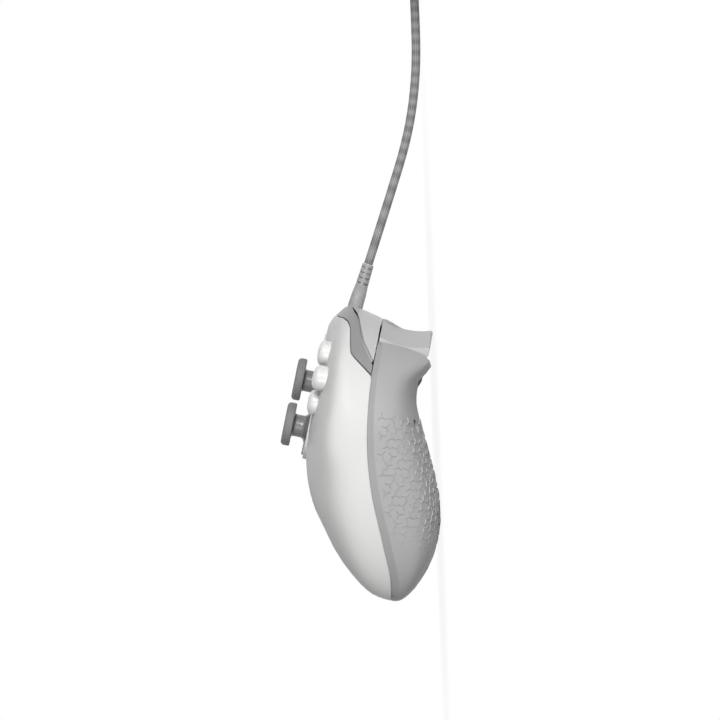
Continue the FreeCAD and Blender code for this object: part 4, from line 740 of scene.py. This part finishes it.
def grey_back():
    """The grey back shell with its trigger slots, screw wells, panel recess and border."""
    shell = hollow("grey_back_shell", SHELL_GREY)
    low = TRIGGER_SEAM - HALF_SEAM
    points = long_seam(-HALF_SEAM)[::-1] + [(TRIM_FRONT[0][0], low), (60, low), (60, -80), (-75, -80)]
    boolean(shell, prism(points), "INTERSECT")
    for side in (-1, 1):
        yaw = -side * TRIGGER_YAW
        centre = (side * TRIGGER_PLACE[0] - TRIGGER_REACH * math.sin(yaw),
                  TRIGGER_PLACE[1] + TRIGGER_REACH * math.cos(yaw))
        boolean(shell, box_cutter(*TRIGGER_SLOT, low - 60, low + 0.2, centre, yaw, 1.0), "DIFFERENCE")
    for x, y, seat in SCREW_WELLS:
        boolean(shell, bar(WELL_RADIUS, seat - 40, seat, (x, y), 40), "DIFFERENCE")
    panel = box_cutter(*PANEL_SIZE, PANEL_LEVEL - 10, PANEL_LEVEL, (0, PANEL_Y), radius=2.0)
    boolean(shell, panel, "DIFFERENCE")
    # The second slot is the border's darker grey, a painted shade for its slope.
    shell.data.materials.append(BORDER_PAINTED_SHADE_GREY)
    for side in (1, -1):
        boolean(shell, border_wedge(side), "DIFFERENCE")
    return place(crease_cut(round_off(shell)), "pad", "grey_plastic", "rear_shell")


def shoulder(name, material, region, port=False, room=None):
    """One of the pieces between the face and the triggers, with the port's openings if it has them."""
    shell = hollow(name, material)
    boolean(shell, region, "INTERSECT")
    if port:
        for block in (PLUG_OPENING, BOOT_RECESS):
            boolean(shell, box_at_port(*block), "DIFFERENCE")
    if room:
        boolean(shell, room, "DIFFERENCE")
    return round_off(shell)


def shoulders():
    """The trim band, the bridge with the port, and the two bumpers with their lips."""
    low = TRIGGER_SEAM + HALF_SEAM
    band = shifted(FRONT_LINE, HALF_SEAM, -HALF_SEAM)[1:] + [(60.0, 4.0)]
    band += shifted(REAR_LINE, -HALF_SEAM, HALF_SEAM)[::-1] + [(TRIM_FOOT, low), (24.4, low)]
    over = HALF_SEAM - BRIDGE_STEP
    seat = shifted(REAR_LINE, over - SEAM, SEAM - over)
    seat += [(60.0, -25.0), (28.6 - BRIDGE_STEP - SEAM, -25.0)]
    room = prism(seat, -BRIDGE_HALF - SEAM, BRIDGE_HALF + SEAM)
    trim = shoulder("dark_trim_band", TRIM_GREY, prism(band), True, room)
    place(trim, "pad", "trim_plastic", "top_trim")
    middle = shifted(REAR_LINE, over, -over) + [(60.0, low), (28.6 - BRIDGE_STEP, low)]
    bridge = shoulder("cable_bridge", BUMPER_GREY, prism(middle, -BRIDGE_HALF, BRIDGE_HALF), True)
    place(bridge, "pad", "bumper_plastic", "top_bridge")
    for side in (-1, 1):
        end = mesh_object("bridge_end", *form(1.3, *END_GRID), BUMPER_GREY)
        ends = sorted((side * BRIDGE_HALF, side * (BRIDGE_HALF - 1.2)))
        boolean(end, prism(middle, *ends), "INTERSECT")
        place(round_off(end), "pad", "bumper_plastic")
    flank = shifted(REAR_LINE, BUMPER_GAP, -BUMPER_GAP) + [(60.0, low), (29.2, low)]
    for name, way in (("right_bumper", 1), ("left_bumper", -1)):
        region = prism(flank, *sorted((BUMPER_END * way, 90.0 * way)))
        pin = Matrix.Translation((BUMPER_PIN[0] * way, BUMPER_PIN[1], 0))
        turn = Matrix.Rotation(way * BUMPER_REST_TURN, 4, "Z")
        region.data.transform(LIE @ pin @ turn @ pin.inverted() @ LIE.inverted())
        place(shoulder(name + "_shell", BUMPER_GREY, region), name, "bumper_plastic", name)
        lip = layer(name + "_lip", BUMPER_GREY, 2.5, 3.3)
        strip = shifted(REAR_LINE, 1.2, -1.2) + shifted(REAR_LINE, -1.3, 1.3)[::-1]
        boolean(lip, prism(strip, *sorted((LIP_END * way, 90.0 * way))), "INTERSECT")
        place(round_off(lip), name, "bumper_plastic")


def seam_tongues():
    """The tongues inside the shell that close the view through its fixed seams."""
    seam = long_seam(0)[:45]
    tip = 38
    # Each with its line, how far it reaches to both sides of it, and its outer and inner inset.
    tongues = [("long_seam_tongue", seam, (0, 1.2), 2.4, 3.0),
               ("long_seam_rib", seam[:tip + 1], (0, 0.12), 0.9, 2.6),
               ("grip_tip_rib", seam[tip:], (0, 0.14), 0.2, 2.6),
               ("trim_seam_tongue", FRONT_LINE, (1.0, -1.0), 2.4, 3.0)]
    for name, line, push, outer, inner in tongues:
        tongue = layer(name, SHELL_GREY, outer, inner)
        strip = shifted(line, *push) + shifted(line, -push[0], -push[1])[::-1]
        boolean(tongue, prism(strip), "INTERSECT")
        place(round_off(tongue), "pad", "grey_plastic")


white_face()
grey_back()
shoulders()
seam_tongues()


def stick(hand):
    """The raised ring, the round skirt, the plain stem and the dished cap of one stick."""
    centre = STICKS[hand]
    rim = [(STICK_HOLE, -4.0), (12.4, -4.0)] + arc(11.9, -0.5, 0.5, 0, 90) + arc(11.2, -0.5, 0.5, 90, 180)
    ring = lathe(hand + "_stick_ring", rim, centre, SHELL_WHITE)
    place(round_off(ring), "pad", "white_plastic")
    inner = SKIRT_RADIUS - SKIRT_WALL
    dome = [(SKIRT_RADIUS * math.sin(math.radians(angle)),
             STICK_PIVOT + SKIRT_RADIUS * math.cos(math.radians(angle))) for angle in range(66, 22, -3)]
    room = [(inner * math.sin(math.radians(angle)),
             STICK_PIVOT + inner * math.cos(math.radians(angle))) for angle in range(0, 69, 6)]
    outline = [(0, STICK_PIVOT + inner)] + room[1:] + dome + [(0, dome[-1][1])]
    skirt = lathe(hand + "_stick_skirt", outline, centre, STEM_PLASTIC)
    place(round_off(skirt), hand + "_stick", "stick_rubber")
    stem = [(0, 1.2), (5.0, 1.2)] + arc(5.4, 2.5, 1.0, 210, 180, 3) + [(4.4, 5.0)]
    stem += arc(5.4, 5.2, 1.0, 180, 130, 4) + [(0, 6.2)]
    post = lathe(hand + "_stick_stem", stem, centre, STEM_PLASTIC)
    place(round_off(post, 50), hand + "_stick", "stick_rubber")
    top = [(0, 6.1)] + arc(8.0, 6.7, 0.6, -80, 0, 5) + arc(7.1, 8.2, 1.5, 0, 80, 8)
    top += [(6.9, 9.6), (6.3, 9.25), (5.5, 8.85), (4.0, 8.6), (0.0, 8.5)]
    pad = lathe(hand + "_stick_pad", top, centre, STICK_RUBBER, 120)
    place(round_off(pad, 60), hand + "_stick", "stick_rubber", hand + "_stick_cap")


for hand in STICKS:
    stick(hand)


def dome_height(radius):
    """Height of a button's domed top at a distance from its axis."""
    share = min(1.0, radius / BUTTON_RADIUS)
    return BUTTON_TOP - BUTTON_CROWN * (1 - (1 - share ** CROWN_POWER) ** (1 / CROWN_POWER))


# The printed numbers' size, and how far their tops stand out of the cap and their feet go into it.
NUMBER_SIZE, NUMBER_PROUD, NUMBER_SUNK = 5.6, 0.03, -0.05


def number(name, text, centre, body):
    """A printed number that follows a button's domed top."""
    curve = bpy.data.curves.new(name, "FONT")
    curve.body = text
    curve.align_x, curve.align_y = "CENTER", "CENTER"
    curve.size = NUMBER_SIZE
    made = bpy.data.objects.new(name, curve)
    bpy.context.scene.collection.objects.link(made)
    mesh = bpy.data.meshes.new_from_object(made.evaluated_get(bpy.context.evaluated_depsgraph_get()))
    bpy.data.objects.remove(made)
    work = bmesh.new()
    work.from_mesh(mesh)
    bmesh.ops.triangulate(work, faces=work.faces)
    bmesh.ops.subdivide_edges(work, edges=work.edges, cuts=2, use_grid_fill=True)
    extruded = bmesh.ops.extrude_face_region(work, geom=work.faces[:])["geom"]
    raised = {item for item in extruded if isinstance(item, bmesh.types.BMVert)}
    for vert in work.verts:
        lift = NUMBER_PROUD if vert in raised else NUMBER_SUNK
        vert.co.z = dome_height(math.hypot(vert.co.x, vert.co.y)) + lift
    work.to_mesh(mesh)
    work.free()
    mesh.transform(LIE @ Matrix.Translation((centre[0], centre[1], 0)))
    mesh.materials.clear()
    mesh.materials.append(NUMBER_INK)
    thing = bpy.data.objects.new(name, mesh)
    bpy.context.scene.collection.objects.link(thing)
    return place(outward(thing), body, "button_plastic")


# Each button is a post with a flange that keeps it in, under its cap.
for name, (x, y, text) in BUTTONS.items():
    profile = [(0, -10.3), (BUTTON_RADIUS, -10.3), (BUTTON_RADIUS, -8.0), (5.9, -8.0), (5.9, -6.7),
               (BUTTON_RADIUS, -6.7)]
    domed = [BUTTON_RADIUS * math.sin(math.radians(angle)) for angle in range(90, -1, -5)]
    profile += [(radius if radius > 0.01 else 0, dome_height(radius)) for radius in domed]
    place(round_off(lathe(name + "_cap", profile, (x, y), BUTTON_WHITE), 50), name, "button_plastic", name)
    number(name + "_number", text, (x, y), name)
for name, (x, y, radius, top) in SMALL_BUTTONS.items():
    profile = [(0, -11.1), (radius, -11.1), (radius, -6.2), (radius + 1, -6.2), (radius + 1, -5.2),
               (radius, -5.2)]
    profile += arc(radius - 0.4, top - 0.45, 0.4, 0, 80, 6) + [(0, top)]
    place(round_off(lathe(name + "_cap", profile, (x, y), BUTTON_WHITE), 50), name, "button_plastic", name)


# The solids that stay as they are, with their finishes, and those whose edges are rounded, in millimetres.
FINISH = {
    "bumper_pins": STEEL, "right_trigger": TRIGGER_GREY, "left_trigger": TRIGGER_GREY,
    "right_trigger_pin": STEEL, "left_trigger_pin": STEEL, "right_trigger_spring": STEEL,
    "left_trigger_spring": STEEL,
    "shoulder_frame": INNER_PLASTIC, "bumper_switches": INNER_PLASTIC, "face_button_membrane": SILICONE,
    "centre_switches": INNER_PLASTIC, "dpad": CROSS_GREY, "dpad_rocker": INNER_PLASTIC,
    "dpad_stand": INNER_PLASTIC, "dpad_membrane": SILICONE, "main_board": BOARD_GREEN,
    "usb_board": BOARD_GREEN, "usb_socket": STEEL, "headset_jack": INNER_PLASTIC,
    "left_rumble_motor": STEEL, "right_rumble_motor": STEEL, "left_rumble_weight": SINTERED,
    "right_rumble_weight": SINTERED, "housing_screws": STEEL,
    "board_screws": STEEL, "usb_c_plug": NICKEL, "cable_tie": STRAP, "usb_a_body": BOOT_RUBBER,
    "usb_a_plug": NICKEL,
}
for hand in STICKS:
    FINISH[hand + "_stick_house"] = INNER_PLASTIC
    FINISH[hand + "_stick_yoke"] = INNER_PLASTIC
    FINISH[hand + "_stick_ball"] = INNER_PLASTIC
    FINISH[hand + "_stick_shaft"] = STEEL
ROUNDED = {"right_trigger": 0.7, "left_trigger": 0.7, "dpad": 0.5, "usb_a_body": 0.6, "cable_tie": 0.15}
for node, material in FINISH.items():
    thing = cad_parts[node]
    thing.data.materials.clear()
    thing.data.materials.append(material)
    if node in ROUNDED:
        weld = thing.modifiers.new("weld", "WELD")
        weld.merge_threshold = 1e-6
        bevel = thing.modifiers.new("round", "BEVEL")
        bevel.width = ROUNDED[node] * MM
        bevel.segments = 3
        bevel.limit_method = "ANGLE"
        bevel.angle_limit = math.radians(32)
    thing.data.shade_smooth()
    thing.data.set_sharp_from_angle(angle=math.radians(35))


# The ridges: how many and how far apart, how large, and how far they stay from seam, screw well and middle.
# ARM_FACES are the faces of one arm, a small block.
RIDGE_ROWS, RIDGE_PITCH, RIDGE_SPACING, RIDGE_START, RIDGE_FIRST = 14, 3.55, 4.1, 9.0, 2.2
RIDGE_ARM, RIDGE_HALF_WIDTH, RIDGE_RISE, RIDGE_FOOT = 2.0, 0.46, 0.34, -0.12
RIDGE_SEAM_ROOM, RIDGE_SCREW_ROOM, RIDGE_INNER_LIMIT = 3.2, 5.5, 36
ARM_FACES = ((0, 1, 3, 2), (4, 6, 7, 5), (2, 3, 7, 6), (0, 2, 6, 4), (1, 5, 7, 3), (0, 4, 5, 1))


def grip_texture(side):
    """Three-armed ridges over the side of a grip, turned three ways, which flatten out at its end."""
    verts, faces = [], []
    screw = SCREW_WELLS[2]
    for row in range(RIDGE_ROWS):
        y = RIDGE_START - row * RIDGE_PITCH
        seam = height_at(PARTING, y)
        centre = Vector((side * 56.0, y, seam - 7.0))
        previous, run, due = None, 0.0, RIDGE_FIRST + (row % 2) * RIDGE_SPACING / 2
        for step in range(400):
            turn = math.radians(20 - step * 0.5)
            ray = Vector((side * math.cos(turn), 0, math.sin(turn)))
            hit, normal, _, _ = SKIN.ray_cast(centre, ray)
            if hit is None or hit.z > seam - RIDGE_SEAM_ROOM:
                previous = None
                continue
            if previous is not None:
                run += (hit - previous).length
            previous = hit
            if run < due:
                continue
            due += RIDGE_SPACING
            if normal.dot(ray) < 0:
                normal = -normal
            kind = (row + int(round(due / RIDGE_SPACING))) % 3
            fade = 1.0 if row < RIDGE_ROWS - 3 else (RIDGE_ROWS - row) / 4.0
            near_screw = math.hypot(hit.x - side * screw[0], hit.y - screw[1]) < RIDGE_SCREW_ROOM
            if hit.x * side < RIDGE_INNER_LIMIT or near_screw:
                continue
            across = normal.cross(Vector((0, 1, 0))).normalized()
            up = across.cross(normal).normalized()
            for limb in range(3):
                angle = math.radians(120 * limb + 40 * kind)
                way = across * math.cos(angle) + up * math.sin(angle)
                flank = way.cross(normal).normalized()
                base = len(verts)
                ends = ((-0.1, RIDGE_HALF_WIDTH), (RIDGE_ARM * 0.95, RIDGE_HALF_WIDTH * 0.85))
                for reach, half in ends:
                    for lift, share in ((RIDGE_FOOT, 1.0), (RIDGE_RISE * fade, 0.45)):
                        for sign in (-1, 1):
                            point = hit + way * reach + flank * (sign * half * share)
                            ground, tilt, _, _ = SKIN.find_nearest(point)
                            if tilt.dot(normal) < 0:
                                tilt = -tilt
                            verts.append(tuple(ground + tilt * lift))
                faces += [[base + index for index in quad] for quad in ARM_FACES]
    name = "right_grip_ridges" if side > 0 else "left_grip_ridges"
    thing = outward(mesh_object(name, verts, faces, SHELL_GREY))
    return place(round_off(thing, 25), "pad", "grey_plastic")


for side in (1, -1):
    grip_texture(side)
